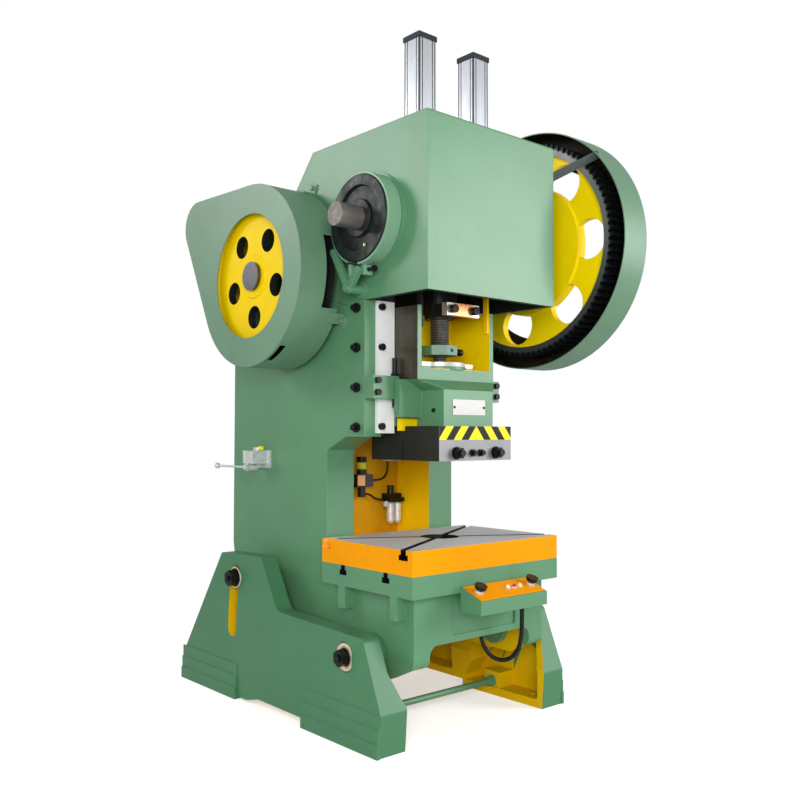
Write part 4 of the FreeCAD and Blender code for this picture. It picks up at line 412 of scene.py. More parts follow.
def drawn_aluminium(name):
    """Extruded, clear-anodised aluminium tube: pale satin with fine die lines, its grooves and corners
    painted dark as painted shade.
    """
    material, place = new_material(name)
    lines = noise(material, stretched(material, place, (1.0, 1.0, 0.01)), 1.1, 2.0)
    at = axes(material, place)
    either_tube = compute(material, "ABSOLUTE", at["X"])
    sides = [compute(material, "ABSOLUTE", compute(material, "SUBTRACT", coordinate, middle))
             for coordinate, middle in ((either_tube, TUBE_X), (at["Y"], TUBE_Y))]
    across = compute(material, "MINIMUM", *sides)
    line = compute(material, "COMPARE", across, TUBE_GROOVE, TUBE_GROOVE_HALF)
    # Painted shade: the grooves and the bands along the tube's corners, beyond TUBE_RIM, are painted dark.
    shaded_groove_and_corner = compute(material, "MAXIMUM", line, compute(material, "GREATER_THAN", across, TUBE_RIM))
    skin = toned(material, lines, "#B4B7BC", "#868990", 0.5)
    return set_up(material, {
        "Base Color": mixed(material, shaded_groove_and_corner, skin, linear("#34363A")),
        "Metallic": 0.6,
        "Roughness": spread(material, lines, 0.30, 0.40),
        "Normal": relief(material, lines, 0.03),
    })


def cast_zinc(name, colour, dark):
    """Pressure-cast or plated zinc: an even grey with a fine matt grain."""
    material, place = new_material(name)
    grain = noise(material, place, 1.8, 3.0)
    return set_up(material, {
        "Base Color": toned(material, noise(material, place, 20), colour, dark),
        "Metallic": 0.4,
        "Roughness": spread(material, grain, 0.42, 0.58),
        "Normal": relief(material, grain, 0.06),
    })


def machined_rim(name):
    """The bull gear's turned side face: grey cast iron, painted lighter towards the top and darker towards
    the bottom as painted light and shade, and black with gear oil from the tooth roots outwards.
    """
    material, place = new_material(name)
    at = add(material, "ShaderNodeVectorMath", {"operation": "SUBTRACT"},
             {0: place, 1: (0.0, CRANK_Y, CRANK_Z)}).outputs["Vector"]
    flat = add(material, "ShaderNodeVectorMath", {"operation": "MULTIPLY"},
               {0: at, 1: (0.0, 1.0, 1.0)}).outputs["Vector"]
    away = add(material, "ShaderNodeVectorMath", {"operation": "LENGTH"}, {0: flat}).outputs["Value"]
    oiled = spread(material, away, 0.0, 1.0, GEAR_ROOT - 0.001, GEAR_ROOT + 0.008)
    # Painted light and shade: the grey runs from dark at the bottom to light at the top.
    up = spread(material, axes(material, flat)["Z"], 0.0, 1.0, -0.20, 0.40)
    grey = mixed(material, up, linear("#43484A"), linear("#8E9292"))
    return set_up(material, {
        "Base Color": mixed(material, oiled, grey, linear("#0E0F10")),
        "Metallic": 0.4,
        "Roughness": spread(material, noise(material, place, 30, 4.0), 0.42, 0.62),
        "Normal": relief(material, noise(material, place, 2.0, 2.0), 0.05),
    })


def moulded_plastic(name, colour, roughness=0.38):
    """Injection-moulded ABS or nylon: even colour, fine spark-eroded texture, a broad soft shine."""
    material, place = new_material(name)
    texture = noise(material, place, 1.3, 2.0)
    patch = spread(material, noise(material, place, 30), 0.0, 1.0)
    return set_up(material, {
        "Base Color": mixed(material, patch, linear(colour), darker(colour, 0.88)),
        "Roughness": spread(material, texture, roughness - 0.04, roughness + 0.06),
        "Specular IOR Level": 0.3,
        "Normal": relief(material, texture, 0.04),
        "IOR": 1.52,
    })


def hose_rubber(name):
    """Black nitrile hose cover: matt, with the faint wrap of the cloth that it was cured in."""
    material, place = new_material(name)
    wrap = noise(material, place, 1.5, 2.0)
    return set_up(material, {
        "Base Color": toned(material, noise(material, place, 25), "#0A0A0B", "#141415"),
        "Roughness": spread(material, wrap, 0.48, 0.62),
        "Specular IOR Level": 0.25,
        "Normal": relief(material, wrap, 0.05),
    })


def chevron_tape(name):
    """Black and yellow warning tape: glossy film with bars that lean to a yellow triangle in its middle."""
    material, place = new_material(name)
    at = axes(material, place)
    across = compute(material, "ABSOLUTE", at["X"])
    rise = compute(material, "SUBTRACT", at["Z"], TAPE_LOW)
    lean = compute(material, "MULTIPLY_ADD", rise, TAPE_LEAN, across)
    bars = compute(material, "MULTIPLY_ADD", lean, 0.5 / TAPE_BAR, -0.5 * TAPE_FIRST / TAPE_BAR)
    black = compute(material, "LESS_THAN", compute(material, "FRACT", bars), 0.5)
    dust = noise(material, place, 12, 4.0)
    return set_up(material, {
        "Base Color": mixed(material, black, toned(material, dust, "#F6E80A", "#D2C02A", 0.22),
                            toned(material, dust, "#0A0A08", "#1A1914", 0.22)),
        "Roughness": spread(material, dust, 0.28, 0.42),
        "Specular IOR Level": 0.15,
        "Normal": relief(material, noise(material, place, 9), 0.03),
    })


def threaded_steel(name):
    """The screw's thread: a fine helix drawn on grey steel, its roots drawn darker."""
    material, place = new_material(name)
    at = axes(material, place)
    angle = compute(material, "ARCTAN2", compute(material, "SUBTRACT", at["Y"], CRANK_Y), at["X"])
    start = compute(material, "MULTIPLY", angle, 0.5 / math.pi)
    wound = compute(material, "MULTIPLY_ADD", at["Z"], 1.0 / THREAD_PITCH, start)
    crest = compute(material, "PINGPONG", wound, 0.5)
    # Darker towards the roots of the thread.
    root = spread(material, crest, 1.0, 0.0, 0.05, 0.25)
    film = noise(material, place, 25, 3.0)
    tone = toned(material, film, "#8B8D8C", "#5A574C", 0.5)
    return set_up(material, {
        "Base Color": mixed(material, root, tone, linear("#1C1B18")),
        "Metallic": 0.85,
        "Roughness": spread(material, film, 0.32, 0.50),
        "Normal": relief(material, crest, 3.0),
    })


def coppered_steel(name):
    """Clamp plate with a flash of copper, rubbed back to bright steel at both ends."""
    material, place = new_material(name)
    across = compute(material, "ABSOLUTE", axes(material, place)["X"])
    ends = compute(material, "MULTIPLY_ADD", noise(material, place, 22, 4.0), 0.020, across)
    rubbed = spread(material, ends, 0.0, 1.0, 0.052, 0.070)
    lines = noise(material, stretched(material, place, (0.05, 1.0, 1.0)), 1.4, 3.0)
    return set_up(material, {
        "Base Color": mixed(material, rubbed, linear("#E39A6B"), linear("#E4DCD6")),
        "Metallic": 0.8,
        "Roughness": spread(material, lines, 0.26, 0.42),
        "Normal": relief(material, lines, 0.03),
    })


def painted_shade_black(name):
    """Near-black with an oil mist, painted shade for faces deep in shadow: the head's underside and inside,
    the gear guard's inside, the slide's lower flange, the shank clamp's sides, the left balance link and the
    splash ring. Almost no light comes back.
    """
    material, place = new_material(name)
    mist = noise(material, place, 40, 4.0)
    return set_up(material, {
        "Base Color": toned(material, mist, "#15160F", "#1F1E15"),
        "Roughness": spread(material, mist, 0.55, 0.75),
        "Specular IOR Level": 0.3,
        "Normal": relief(material, noise(material, place, 6, 3.0), 0.15),
    })


def enamelled_plate(name):
    """Blank plate or dial in white lacquer: smooth, with a faint uneven shade."""
    material, place = new_material(name)
    shade = noise(material, place, 3, 2.0)
    return set_up(material, {
        "Base Color": toned(material, shade, "#BDBBB6", "#85847F", 0.25),
        "Roughness": spread(material, shade, 0.20, 0.30),
        "Normal": relief(material, shade, 0.01),
    })


GREEN = enamel("green_machine_enamel", "#558963", "#8CB79A")
OILED_SIDE = enamel("green_machine_enamel_oiled_way", "#558963", "#8CB79A", oil_and_shade_above=SLIDE_OILED)
GUARD_GREEN = enamel("green_sheet_enamel", "#62896C", "#95B8A0", 0.42)
# A lighter copy of the green for the brake band: painted highlight along the band.
LIT_BAND_GREEN = enamel("green_band_enamel_painted_highlight", "#7DA98A", "#A3C6AE", 0.40)
# A darker, duller copy of the green for the legs: painted shade, the legs standing low in less light.
SHADED_LEG_GREEN = enamel("green_machine_enamel_legs_painted_shade", "#447A55", "#7AA889", shine=0.35)
YELLOW = enamel("yellow_machine_enamel", "#F4D000", "#FCE63C", 0.42, 0.20, 0.06)
# A darker, duller copy of the yellow for the space under the table and the legs' insides: painted shade
# there.
SHADED_INSIDE_YELLOW = enamel("yellow_inside_enamel_painted_shade", "#DDB400", "#F0CC24", 0.60, 0.35, 0.10)
# A brighter copy of the yellow for the bull gear: painted light, lifting the web out of the head's shade.
LIT_GEAR_YELLOW = enamel("yellow_gear_enamel_painted_light", "#FFE000", "#FFEC4A", 0.42, 0.20, 0.12)
# A darker copy of the yellow for the throat's back plate: painted shade in the throat.
SHADED_THROAT_YELLOW = enamel("yellow_throat_enamel_painted_shade", "#C9930C", "#DDAA24", 0.55, 0.35, 0.05)
# A brighter copy of the yellow for the throat's walls and the right balance link: painted light that lifts
# their shade.
LIT_INSIDE_YELLOW = enamel("yellow_inside_enamel", "#FFD000", "#FFDE3A", 0.55, 0.35, 0.15)
ORANGE = enamel("orange_machine_enamel", "#EE9800", "#FFB928", 0.50, 0.15, 0.05)
GRIP_GREEN = enamel("green_screw_enamel", "#557F68", "#93B3A0", 0.42)
BOLSTER_STEEL = ground_steel("ground_bolster_steel", "#D8D5D7", (1.0, 0.05, 1.0), 1.6, 0.46, 0.30)
# The strips: near-white with little metal is a painted reflection of the ground steel's shine; black above
# the head's underside is painted shade.
STRIP_STEEL = ground_steel("ground_strip_steel", "#FFFFFF", (1.0, 1.0, 0.03), 1.3, 0.40, 0.10, HEAD_UNDER)
CLAMP_STEEL = ground_steel("ground_clamp_steel", "#8F8F91", (0.05, 1.0, 1.0), 1.3, 0.44, 0.50)
RING_STEEL = machined_rim("machined_gear_rim")
SEAT_STEEL = turned_steel("turned_seat_steel", "#D2D0D0", 0.42, 0.5)
SHAFT_STEEL = turned_steel("turned_shaft_steel", "#A5A099", 0.30, 0.75)
# A darker copy of the shaft steel for the crankshaft's left end face: painted shade on the end.
SHADED_SHAFT_END = turned_steel("shaft_end_painted_shade", "#6A655E", 0.46, 0.40)
CAP_STEEL = turned_steel("turned_cap_steel", "#63656B", 0.34)
SCREW_THREAD = threaded_steel("dark_rooted_thread_steel")
COPPERED = coppered_steel("coppered_clamp_steel")
GEAR_IRON = oiled_iron("oiled_gear_iron", "#1D2124")
DRUM_IRON = oiled_iron("oiled_drum_iron", "#272D2B", 0.46)
# Bare oiled iron inside the slots, made near-black: the iron's own dark colour and painted shade in the
# slots' depth.
SHADED_SLOT_IRON = oiled_iron("oiled_slot_iron_painted_shade", "#1A1B1C", 0.50)
SPRAYED_SLOT = oversprayed_iron("oversprayed_slot_iron")
BOLT_BLACK = black_oxide("black_oxide_bolt_steel")
BRONZE = turned_bronze("turned_bronze", "#A8794A", "#5A3D22")
GIB_IRON = oiled_gib("oiled_gib_iron")
# Painted shade: near-black for faces deep in shadow.
SHADE_BLACK = painted_shade_black("painted_shade_black_iron")
STAY_GREY = enamel("grey_stay_enamel", "#3A4541", "#65726D", 0.45)
ALUMINIUM = drawn_aluminium("anodised_drawn_aluminium")
WASHER_ZINC = cast_zinc("plated_washer_zinc", "#E8DCC4", "#C9B896")
PUMP_GREY = cast_zinc("blasted_pump_zinc", "#D3D9D5", "#B4BAB6")
COLLAR_WHITE = cast_zinc("plated_button_collar", "#E4E5E6", "#C4C6C6")
BLACK_PLASTIC = moulded_plastic("black_moulded_nylon", "#0D0D0E")
YELLOW_CAP = moulded_plastic("yellow_moulded_cap", "#F0DC10", 0.40)
CAP_PLASTIC = moulded_plastic("blue_black_moulded_cap", "#101C24", 0.45)
WHITE_PLASTIC = moulded_plastic("white_moulded_abs", "#DCDAD2")
RED_PLASTIC = moulded_plastic("red_moulded_button", "#C8231B", 0.25)
CREAM_PLASTIC = moulded_plastic("cream_moulded_button", "#F2E8BE", 0.25)
PALE_PLASTIC = moulded_plastic("pale_moulded_button", "#F4F2EC", 0.25)
COIL_GREEN = moulded_plastic("yellow_green_coil_cover", "#C9CF3A", 0.45)
LABEL_PEACH = moulded_plastic("peach_coil_label", "#E0A06A", 0.45)
RUBBER = hose_rubber("hose_rubber")
TAPE = chevron_tape("warning_chevron_tape")
PLATE_WHITE = enamelled_plate("blank_enamelled_plate")
BRASS = turned_bronze("turned_brass_nipple", "#F0DC78", "#BFA548")

FINISHES = {
    GREEN: "frame_casting slide_body stop_brackets brake_bracket control_box motor_plate motor "
           "leg_tie_rod",
    GUARD_GREEN: "belt_guard gear_guard guard_stays",
    LIT_BAND_GREEN: "brake_band",
    SHADED_LEG_GREEN: "leg_left leg_right",
    YELLOW: "flywheel knockout_bar",
    LIT_GEAR_YELLOW: "bull_gear",
    SHADED_THROAT_YELLOW: "throat_plate",
    LIT_INSIDE_YELLOW: "balance_links",
    ORANGE: "bolster_plate control_panel",
    GRIP_GREEN: "locking_collar",
    STRIP_STEEL: "gib_strip_left gib_strip_right",
    SEAT_STEEL: "seat_ring",
    CLAMP_STEEL: "shank_clamp",
    COPPERED: "rod_clamp",
    SHAFT_STEEL: "crankshaft motor_shaft balance_pistons",
    CAP_STEEL: "pinion_shaft",
    SCREW_THREAD: "ball_screw",
    DRUM_IRON: "brake_drum motor_pulley pinion connecting_rod rod_cap",
    BOLT_BLACK: "slideway_bolts brake_bolt slot_bolts pivot_bolts shank_clamp_bolts",
    BRONZE: "crank_bushes shaft_bearings",
    GIB_IRON: "side_gibs",
    ALUMINIUM: "cylinder_barrels",
    COLLAR_WHITE: "air_filter",
    PUMP_GREY: "lube_pump pump_lever",
    CAP_PLASTIC: "cylinder_heads",
    BLACK_PLASTIC: "control_fittings palm_button_left palm_button_right air_valve",
    WHITE_PLASTIC: "junction_box",
    PALE_PLASTIC: "push_button_1",
    RED_PLASTIC: "push_button_2",
    CREAM_PLASTIC: "push_button_3",
    RUBBER: "v_belts control_hose",
}


def finish_nodes():
    for material, names in FINISHES.items():
        for name in names.split():
            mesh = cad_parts[name].data
            mesh.materials.clear()
            mesh.materials.append(material)


def finish_faces(node, material, chosen):
    """Gives the faces for which chosen(centre, normal) holds another material."""
    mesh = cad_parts[node].data
    mesh.materials.append(material)
    for face in mesh.polygons:
        if chosen(face.center, face.normal):
            face.material_index = len(mesh.materials) - 1


# ---------------------------------------------------------------- faces of one node painted apart

def off_axis(at, y, z):
    """Distance from an axis that runs along X."""
    return math.hypot(at.y - y, at.z - z)


def from_crank(at):
    return off_axis(at, CRANK_Y, CRANK_Z)


def from_pivot(at):
    return off_axis(at, PIVOT_Y, PIVOT_Z)


def near(value, target):
    return abs(value - target) < 0.0008


def inside_of_leg(at, normal):
    """True on a leg's inner faces: the cells open towards the frame, and their walls."""
    if abs(at.x) > LEG_PLATE or from_pivot(at) < PIVOT_BOSS:
        return False
    if abs(normal.x) > 0.5:
        return at.x * normal.x < 0
    spot = Vector((at.y, at.z))
    for start, end in zip(LEG_OUTLINE, LEG_OUTLINE[1:] + LEG_OUTLINE[:1]):
        start, run = Vector(start), Vector(end) - Vector(start)
        share = min(max((spot - start).dot(run) / run.length_squared, 0.0), 1.0)
        if (spot - start - share * run).length < LEG_WALL:
            return False
    return True


def in_throat(at, normal):
    """Side walls, floor and ceiling of the throat."""
    return (near(abs(at.x), THROAT_HALF) and abs(normal.x) > SQUARE and at.z < THROAT_TOP
            or near(at.z, THROAT_FLOOR) or near(at.z, THROAT_TOP) and normal.z < 0)


def under_table(at, normal):
    """Walls and ceiling of the space under the table."""
    return at.z < UNDER_TOP + SKIN and (
        near(abs(at.x), UNDER_HALF) and abs(normal.x) > SQUARE
        or near(at.z, UNDER_TOP) and normal.z < -SQUARE
        or near(at.y, UNDER_FRONT) and normal.y > SQUARE
        or near(at.y, UNDER_BACK) and normal.y < -SQUARE)


def in_head(at, normal):
    """The head's underside, the walls inside it and the faces behind the slideways."""
    return near(at.z, HEAD_UNDER) and normal.z < 0 or at.z > SLIDEWAYS_LOW and (
        near(at.y, HEAD_FRONT) or near(at.z, HEAD_CEILING) or near(abs(at.x), HEAD_HALF)
        or near(abs(at.x), THROAT_HALF) or any(near(at.y, back) for back in SLIDEWAY_BACKS))


def in_table_slot(at, normal):
    return (TABLE_SLOT_LOW < at.z < TABLE_SLOT_HIGH and TABLE_SLOT_FRONT < at.y < TABLE_SLOT_BACK
            and abs(normal.x) < 0.5)


def in_slide_pocket(at, normal):
    return (near(abs(at.x), POCKET_HALF) or near(at.y, POCKET_BACK) or near(at.z, POCKET_FLOOR)
            or near(at.z, POCKET_LEDGE))


def in_bolster(at, normal):
    """True inside the bolster's outline: the walls of its hole and slots."""
    return (bolster_low.x + SKIN < at.x < bolster_high.x - SKIN
            and bolster_low.y + SKIN < at.y < bolster_high.y - SKIN)


def in_sprayed_slot(at, normal):
    """The walls of the slots that run out at the back left of the bolster."""
    middle = (bolster_low.y + bolster_high.y) / 2
    return in_bolster(at, normal) and at.x < SPRAYED_RIGHT_END and at.y > middle + SPRAYED_BEHIND


def on_wheel_iron_and_hole_shade(at, normal):
    """The flywheel's belt grooves, bare iron, and the walls of its holes, painted dark as painted shade
    inside the holes.
    """
    away = off_axis(at, WHEEL_Y, WHEEL_Z)
    return away > WHEEL_RIM or WHEEL_HUB < away < WHEEL_HOLES and abs(normal.x) < 0.3


def inside_guard(at, normal):
    """The side of the gear guard's sheet that faces the gear, round its rim and behind its face."""
    outwards = normal.y * (at.y - CRANK_Y) + normal.z * (at.z - CRANK_Z)
    return outwards < -0.25 * from_crank(at) or normal.x < -SQUARE and at.x > GUARD_SHEET


bolster_low, bolster_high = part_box("bolster_plate")

finish_nodes()
# Painted shade: the walls of the bolster's hole and slots are near-black.
finish_faces("bolster_plate", SHADED_SLOT_IRON, in_bolster)
finish_faces("bolster_plate", SPRAYED_SLOT, in_sprayed_slot)
finish_faces("bolster_plate", BOLSTER_STEEL, lambda at, n: at.z > bolster_high.z - SKIN and n.z > SQUARE)
finish_faces("bull_gear", RING_STEEL, lambda at, n: from_crank(at) > GEAR_RIM and abs(n.x) > SQUARE)
finish_faces("bull_gear", GEAR_IRON, lambda at, n: from_crank(at) > GEAR_TEETH and abs(n.x) < 0.5)
# Painted shade: the walls of the flywheel's holes are painted dark iron.
finish_faces("flywheel", DRUM_IRON, on_wheel_iron_and_hole_shade)
# Painted light: the throat's walls, floor and ceiling take the brighter yellow.
finish_faces("frame_casting", LIT_INSIDE_YELLOW, in_throat)
# Painted shade: the space under the table takes the darker yellow.
finish_faces("frame_casting", SHADED_INSIDE_YELLOW, under_table)
# Painted shade: the head's underside and the faces inside it are painted near-black.
finish_faces("frame_casting", SHADE_BLACK, in_head)
# Painted shade: the walls of the table's slots are near-black.
finish_faces("frame_casting", SHADED_SLOT_IRON, in_table_slot)
finish_faces("slide_body", YELLOW, in_slide_pocket)
finish_faces("slide_body", OILED_SIDE, lambda at, n: near(abs(at.x), SLIDE_HALF) and abs(n.x) > SQUARE)
# Painted shade: the slide's faces below the tape's top, all but the tape's front, are painted near-black.
finish_faces("slide_body", SHADE_BLACK, lambda at, n: at.z < TAPE_HIGH - SKIN and not near(at.y, TAPE_FRONT))
finish_faces("crankshaft", DRUM_IRON, lambda at, n: abs(at.x) < HEAD_HALF)
# Painted shade: the crankshaft's left end face is painted darker.
finish_faces("crankshaft", SHADED_SHAFT_END, lambda at, n: at.x < CRANK_LEFT_END and n.x < -0.5)
# Painted shade: the left balance link, in the dark gap beside the slide, is painted near-black.
finish_faces("balance_links", SHADE_BLACK, lambda at, n: at.x < 0)
# Painted shade: the shank clamp's sides are painted near-black.
finish_faces("shank_clamp", SHADE_BLACK, lambda at, n: abs(n.x) > 0.5)
finish_faces("rod_clamp", BOLT_BLACK, lambda at, n: at.y < CLAMP_BOLTS)
finish_faces("locking_collar", BOLT_BLACK, lambda at, n: at.x > COLLAR_LUG)
# Painted shade: the inside of the gear guard is painted near-black.
finish_faces("gear_guard", SHADE_BLACK, inside_guard)
finish_faces("guard_stays", STAY_GREY, lambda at, n: at.x > RIGHT_STAYS)
finish_faces("air_filter", BLACK_PLASTIC, lambda at, n: at.z > FILTER_HEADS)
for leg in ("leg_left", "leg_right"):
    # Painted shade: the legs' insides take the darker yellow.
    finish_faces(leg, SHADED_INSIDE_YELLOW, inside_of_leg)
    finish_faces(leg, SEAT_STEEL, lambda at, n: abs(at.x) > LEG_SEAT and from_pivot(at) < PIVOT_SEAT)
finish_faces("control_fittings", COLLAR_WHITE, lambda at, n: at.z > PANEL_COLLARS)


# ---------------------------------------------------------------- pieces

def new_piece(name, mesh, material, body):
    """A visible piece that rides on a body of the frame."""
    piece = bpy.data.objects.new(name, mesh)
    bpy.context.scene.collection.objects.link(piece)
    mesh.materials.append(material)
    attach(piece, body)
    return piece


# The hose: out of the gland under the control box, down in a loose bow, and up behind the table's front wall.
HOSE_ROUTE = [
    (0.105, -0.735, 0.416), (0.105, -0.735, 0.366), (0.104, -0.733, 0.318), (0.100, -0.724, 0.273),
    (0.088, -0.700, 0.238), (0.072, -0.667, 0.227), (0.056, -0.635, 0.238), (0.044, -0.6105, 0.273),
    (0.039, -0.600, 0.316), (0.039, -0.600, 0.3577),
]
HOSE_DIAMETER = 0.015


def make_hose():
    curve = bpy.data.curves.new("control_hose_line", "CURVE")
    curve.dimensions = "3D"
    curve.bevel_depth = HOSE_DIAMETER / 2
    curve.bevel_resolution = 6
    curve.resolution_u = 12
    curve.use_fill_caps = True
    line = curve.splines.new("NURBS")
    line.points.add(len(HOSE_ROUTE) - 1)
    for point, place in zip(line.points, HOSE_ROUTE):
        point.co = (*place, 1.0)
    line.order_u = 3
    line.use_endpoint_u = True
    hose = new_piece("hose_cover", curve, RUBBER, "press")
    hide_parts("control_hose")


make_hose()


def mesh_of(work, name):
    """The mesh of a bmesh, which is freed."""
    mesh = bpy.data.meshes.new(name)
    work.to_mesh(mesh)
    work.free()
    return mesh


def plate(low, high, edge):
    """A flat plate between two corners, its edges broken by a small bevel."""
    work = bmesh.new()
    bmesh.ops.create_cube(work, size=1.0)
    for corner in work.verts:
        corner.co = Vector(a + (b - a) * (c + 0.5) for a, b, c in zip(low, high, corner.co))
    bmesh.ops.bevel(work, geom=work.edges[:], offset=edge, segments=3, profile=0.7, affect="EDGES")
    return mesh_of(work, "plate")


def turned_shape(profile, place, along, steps=32, closed=True):
    """(distance along, radius) points swept round an axis from place; both ends are capped if closed."""
    work = bmesh.new()
    turn = Vector(along).to_track_quat("Z", "Y").to_matrix().to_4x4()
    angles = [math.tau * i / steps for i in range(steps)]
    rings = []
    for distance, radius in profile:
        points = [Vector((radius * math.cos(a), radius * math.sin(a), distance)) for a in angles]
        rings.append([work.verts.new(Vector(place) + turn @ point) for point in points])
    for first, second in zip(rings, rings[1:]):
        for i in range(steps):
            work.faces.new((first[i], first[(i + 1) % steps], second[(i + 1) % steps], second[i]))
    if closed:
        work.faces.new(rings[-1])
        work.faces.new(rings[0])
    bmesh.ops.remove_doubles(work, verts=work.verts[:], dist=1e-6)
    bmesh.ops.recalc_face_normals(work, faces=work.faces[:])
    mesh = mesh_of(work, "turned")
    for face in mesh.polygons:
        face.use_smooth = len(face.vertices) == 4
    return mesh


def cap_screw(name, place, along, radius, material, body):
    """A small cap screw: a head with a broken edge and a sunk middle."""
    profile = [(0.0, radius), (radius * 0.75, radius), (radius * 0.92, radius * 0.86),
               (radius * 0.92, radius * 0.5), (radius * 0.45, radius * 0.46)]
    return new_piece(name, turned_shape(profile, place, along), material, body)


def washer_profile(bore, outer, thick, edge):
    """Section of a washer, closed on itself, with its outer edge broken."""
    outside = [(0.0, outer), (thick - edge, outer), (thick, outer - edge)]
    return [(0.0, bore), *outside, (thick, bore), (0.0, bore)]


# The slide's front: warning tape on the flange, and a bare plate held by two screws.
TAPE_THICK = 0.0005
TAPE_OFF = 0.0001
PLATE_HALF = 0.080
PLATE_FRONT = -0.5862
PLATE_BACK = -0.5842
PLATE_LOW = 1.076
PLATE_HIGH = 1.130
PLATE_SCREW_X = 0.073
PLUG_PLACE = (-0.1222, -0.535, 1.092)

new_piece("warning_tape",
          plate((-TAPE_HALF + SKIN, TAPE_FRONT - TAPE_OFF - TAPE_THICK, TAPE_LOW + SKIN / 2),
                (TAPE_HALF - SKIN, TAPE_FRONT - TAPE_OFF, TAPE_HIGH - SKIN / 2), 0.0002),
          TAPE, "ram")
new_piece("blank_plate",
          plate((-PLATE_HALF, PLATE_FRONT, PLATE_LOW), (PLATE_HALF, PLATE_BACK, PLATE_HIGH), 0.0008),
          PLATE_WHITE, "ram")
for side, way in (("left", -1), ("right", 1)):
    cap_screw("plate_screw_" + side, (way * PLATE_SCREW_X, PLATE_FRONT, (PLATE_LOW + PLATE_HIGH) / 2),
              (0, -1, 0), 0.004, BOLT_BLACK, "ram")
cap_screw("nose_plug", PLUG_PLACE, (-1, 0, 0), 0.007, BOLT_BLACK, "ram")

# The splash ring behind the bull gear, rolled into the guard's drum, painted near-black: painted shade behind
# the gear.
SPLASH_PROFILE = [(0.585, 0.345), (0.5825, 0.3465), (0.5825, 0.350), (0.587, 0.352), (0.587, 0.462),
                  (0.583, 0.464), (0.583, 0.4655), (0.590, 0.4655), (0.590, 0.345), (0.585, 0.345)]
new_piece("gear_splash_ring", turned_shape(SPLASH_PROFILE, (0, CRANK_Y, CRANK_Z), (1, 0, 0), 96, False),
          SHADE_BLACK, "press")

# In the throat: the valve's coil cover and label, and the gauge beside the filter.
COIL_PROFILE = [(0.0, 0.0195), (0.026, 0.0195), (0.027, 0.0185)]
COIL_FOOT = (-0.020, -0.009, 0.870)
LABEL_LOW = (-0.057, -0.0316, 0.806)
LABEL_HIGH = (-0.020, -0.0309, 0.846)
GAUGE_PROFILE = [(0.0, 0.004), (0.010, 0.004), (0.011, 0.011), (0.013, 0.012), (0.021, 0.012),
                 (0.0215, 0.0105), (0.0205, 0.0103)]
GAUGE_PLACE = (0.088, -0.014, 0.728)

new_piece("coil_cover", turned_shape(COIL_PROFILE, COIL_FOOT, (0, 0, 1)), COIL_GREEN, "press")
new_piece("valve_label", plate(LABEL_LOW, LABEL_HIGH, 0.0003), LABEL_PEACH, "press")
new_piece("filter_gauge", turned_shape(GAUGE_PROFILE, GAUGE_PLACE, (0, -1, 0)), PLATE_WHITE, "press")

# Plated washers round the pivot bolts, in their spot faces, and round the slot bolts.
PIVOT_WASHER = washer_profile(0.0300, 0.0450, 0.0070, 0.0010)
PIVOT_WASHER_X = 0.4362
SLOT_WASHER = washer_profile(0.0345, 0.0405, 0.0028, 0.0008)
SLOT_WASHER_X = 0.4445

for side, way in (("left", -1), ("right", 1)):
    pivot = (way * PIVOT_WASHER_X, PIVOT_Y, PIVOT_Z)
    lock = (way * SLOT_WASHER_X, SLOT_BOLT_Y, SLOT_BOLT_Z)
    new_piece("pivot_washer_" + side, turned_shape(PIVOT_WASHER, pivot, (way, 0, 0), 48, False),
              WASHER_ZINC, "base")
    new_piece("slot_washer_" + side, turned_shape(SLOT_WASHER, lock, (way, 0, 0), 48, False),
              WASHER_ZINC, "press")

# The pump's filler cap, and the grease nipple on the brake drum's disc.
FILLER_PROFILE = [(0.0, 0.011), (0.014, 0.011), (0.016, 0.009), (0.016, 0.004)]
FILLER_PLACE = (-0.352, 0.205, 0.945)
NIPPLE_PLACE = (-0.3852, -0.480, 1.640)

new_piece("pump_cap", turned_shape(FILLER_PROFILE, FILLER_PLACE, (0, 0, 1)), YELLOW_CAP, "press")
cap_screw("drum_nipple", NIPPLE_PLACE, (-1, 0, 0), 0.006, BRASS, "crank")


# ---------------------------------------------------------------- floor and light

FLOOR_SIZE = 40.0
FLOOR_NEAR = 0.9
FLOOR_GONE = 3.4
FLOOR_GLOW = 0.48
WORLD_LIGHT = 0.50
WHITE = (1.0, 1.0, 1.0, 1.0)

# Each lamp's place, the point it faces, its width and height, and its power in watts.
LAMPS = {
    "key_softbox": ((3.4, -4.2, 2.3), (0.0, -0.5, 1.5), (2.0, 2.4), 155),
    "fill_softbox": ((-3.3, -4.0, 1.8), (0.0, -0.3, 1.0), (2.4, 2.0), 165),
    "back_softbox": ((-3.8, 3.6, 3.5), (-0.3, -0.3, 1.9), (1.8, 1.4), 85),
}


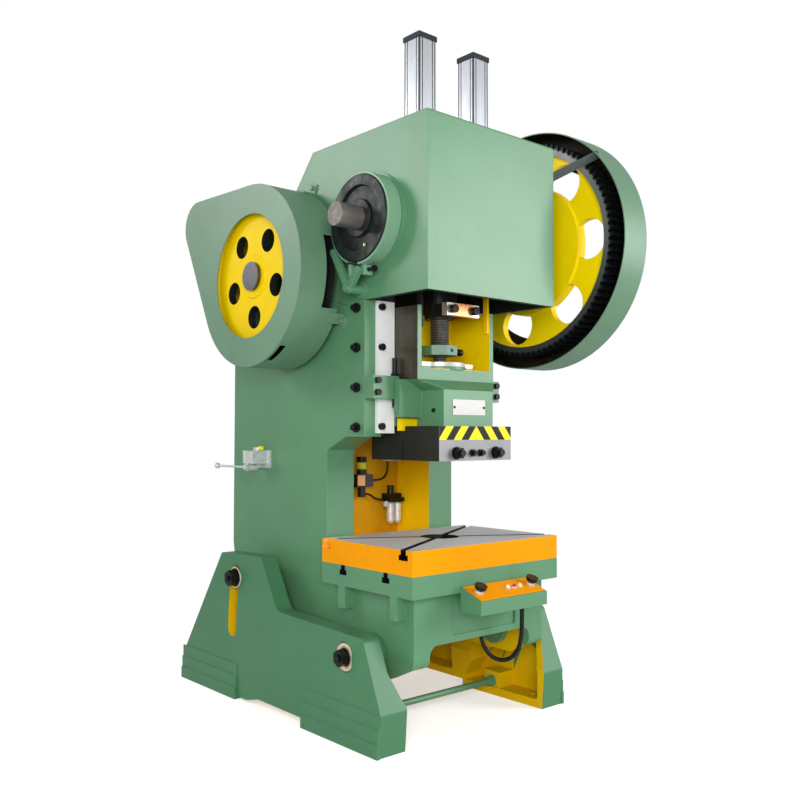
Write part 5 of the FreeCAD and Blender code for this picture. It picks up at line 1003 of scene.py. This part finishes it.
def floor_material():
    """Pale seamless backdrop paper that fades into the white behind it, like a studio cove."""
    material, place = new_material("backdrop_paper")
    away = add(material, "ShaderNodeVectorMath", {"operation": "LENGTH"}, {0: place}).outputs["Value"]
    fade = add(material, "ShaderNodeMapRange", {"interpolation_type": "SMOOTHSTEP"},
               {"Value": away, "From Min": FLOOR_NEAR, "From Max": FLOOR_GONE}).outputs["Result"]
    seen = add(material, "ShaderNodeLightPath").outputs["Is Camera Ray"]
    set_up(material, {
        "Base Color": linear("#EFEFED"),
        "Roughness": 0.95,
        "Specular IOR Level": 0.1,
        "Emission Color": WHITE,
        "Emission Strength": compute(material, "MULTIPLY", seen, FLOOR_GLOW),
    })
    nodes = material.node_tree.nodes
    paper = nodes["Principled BSDF"].outputs["BSDF"]
    clear = add(material, "ShaderNodeBsdfTransparent").outputs["BSDF"]
    both = add(material, "ShaderNodeMixShader", sockets={0: fade, 1: paper, 2: clear}).outputs["Shader"]
    fill(material, nodes["Material Output"], {"Surface": both})
    return material


def make_floor():
    mesh = bpy.data.meshes.new("floor")
    half = FLOOR_SIZE / 2
    corners = [(-half, -half, 0), (half, -half, 0), (half, half, 0), (-half, half, 0)]
    mesh.from_pydata(corners, [], [(0, 1, 2, 3)])
    mesh.materials.append(floor_material())
    floor = bpy.data.objects.new("floor", mesh)
    bpy.context.scene.collection.objects.link(floor)


def make_world():
    """White behind the object, and a softer white on it."""
    world = bpy.data.worlds.new("studio")
    bpy.context.scene.world = world
    world.use_nodes = True
    rays = add(world, "ShaderNodeLightPath").outputs
    seen = compute(world, "MAXIMUM", rays["Is Camera Ray"], rays["Is Transmission Ray"])
    strength = spread(world, seen, WORLD_LIGHT, 1.0, 0.0, 1.0)
    fill(world, world.node_tree.nodes["Background"], {"Strength": strength, "Color": WHITE})


def make_lamp(name, place, target, size, power):
    lamp = bpy.data.lights.new(name, "AREA")
    lamp.shape = "RECTANGLE"
    lamp.size, lamp.size_y = size
    lamp.energy = power
    stand = bpy.data.objects.new(name, lamp)
    stand.location = place
    stand.rotation_euler = (Vector(target) - Vector(place)).to_track_quat("-Z", "Y").to_euler()
    bpy.context.scene.collection.objects.link(stand)


make_floor()
make_world()
for lamp_name, settings in LAMPS.items():
    make_lamp(lamp_name, *settings)
bpy.context.scene.view_settings.view_transform = "Standard"
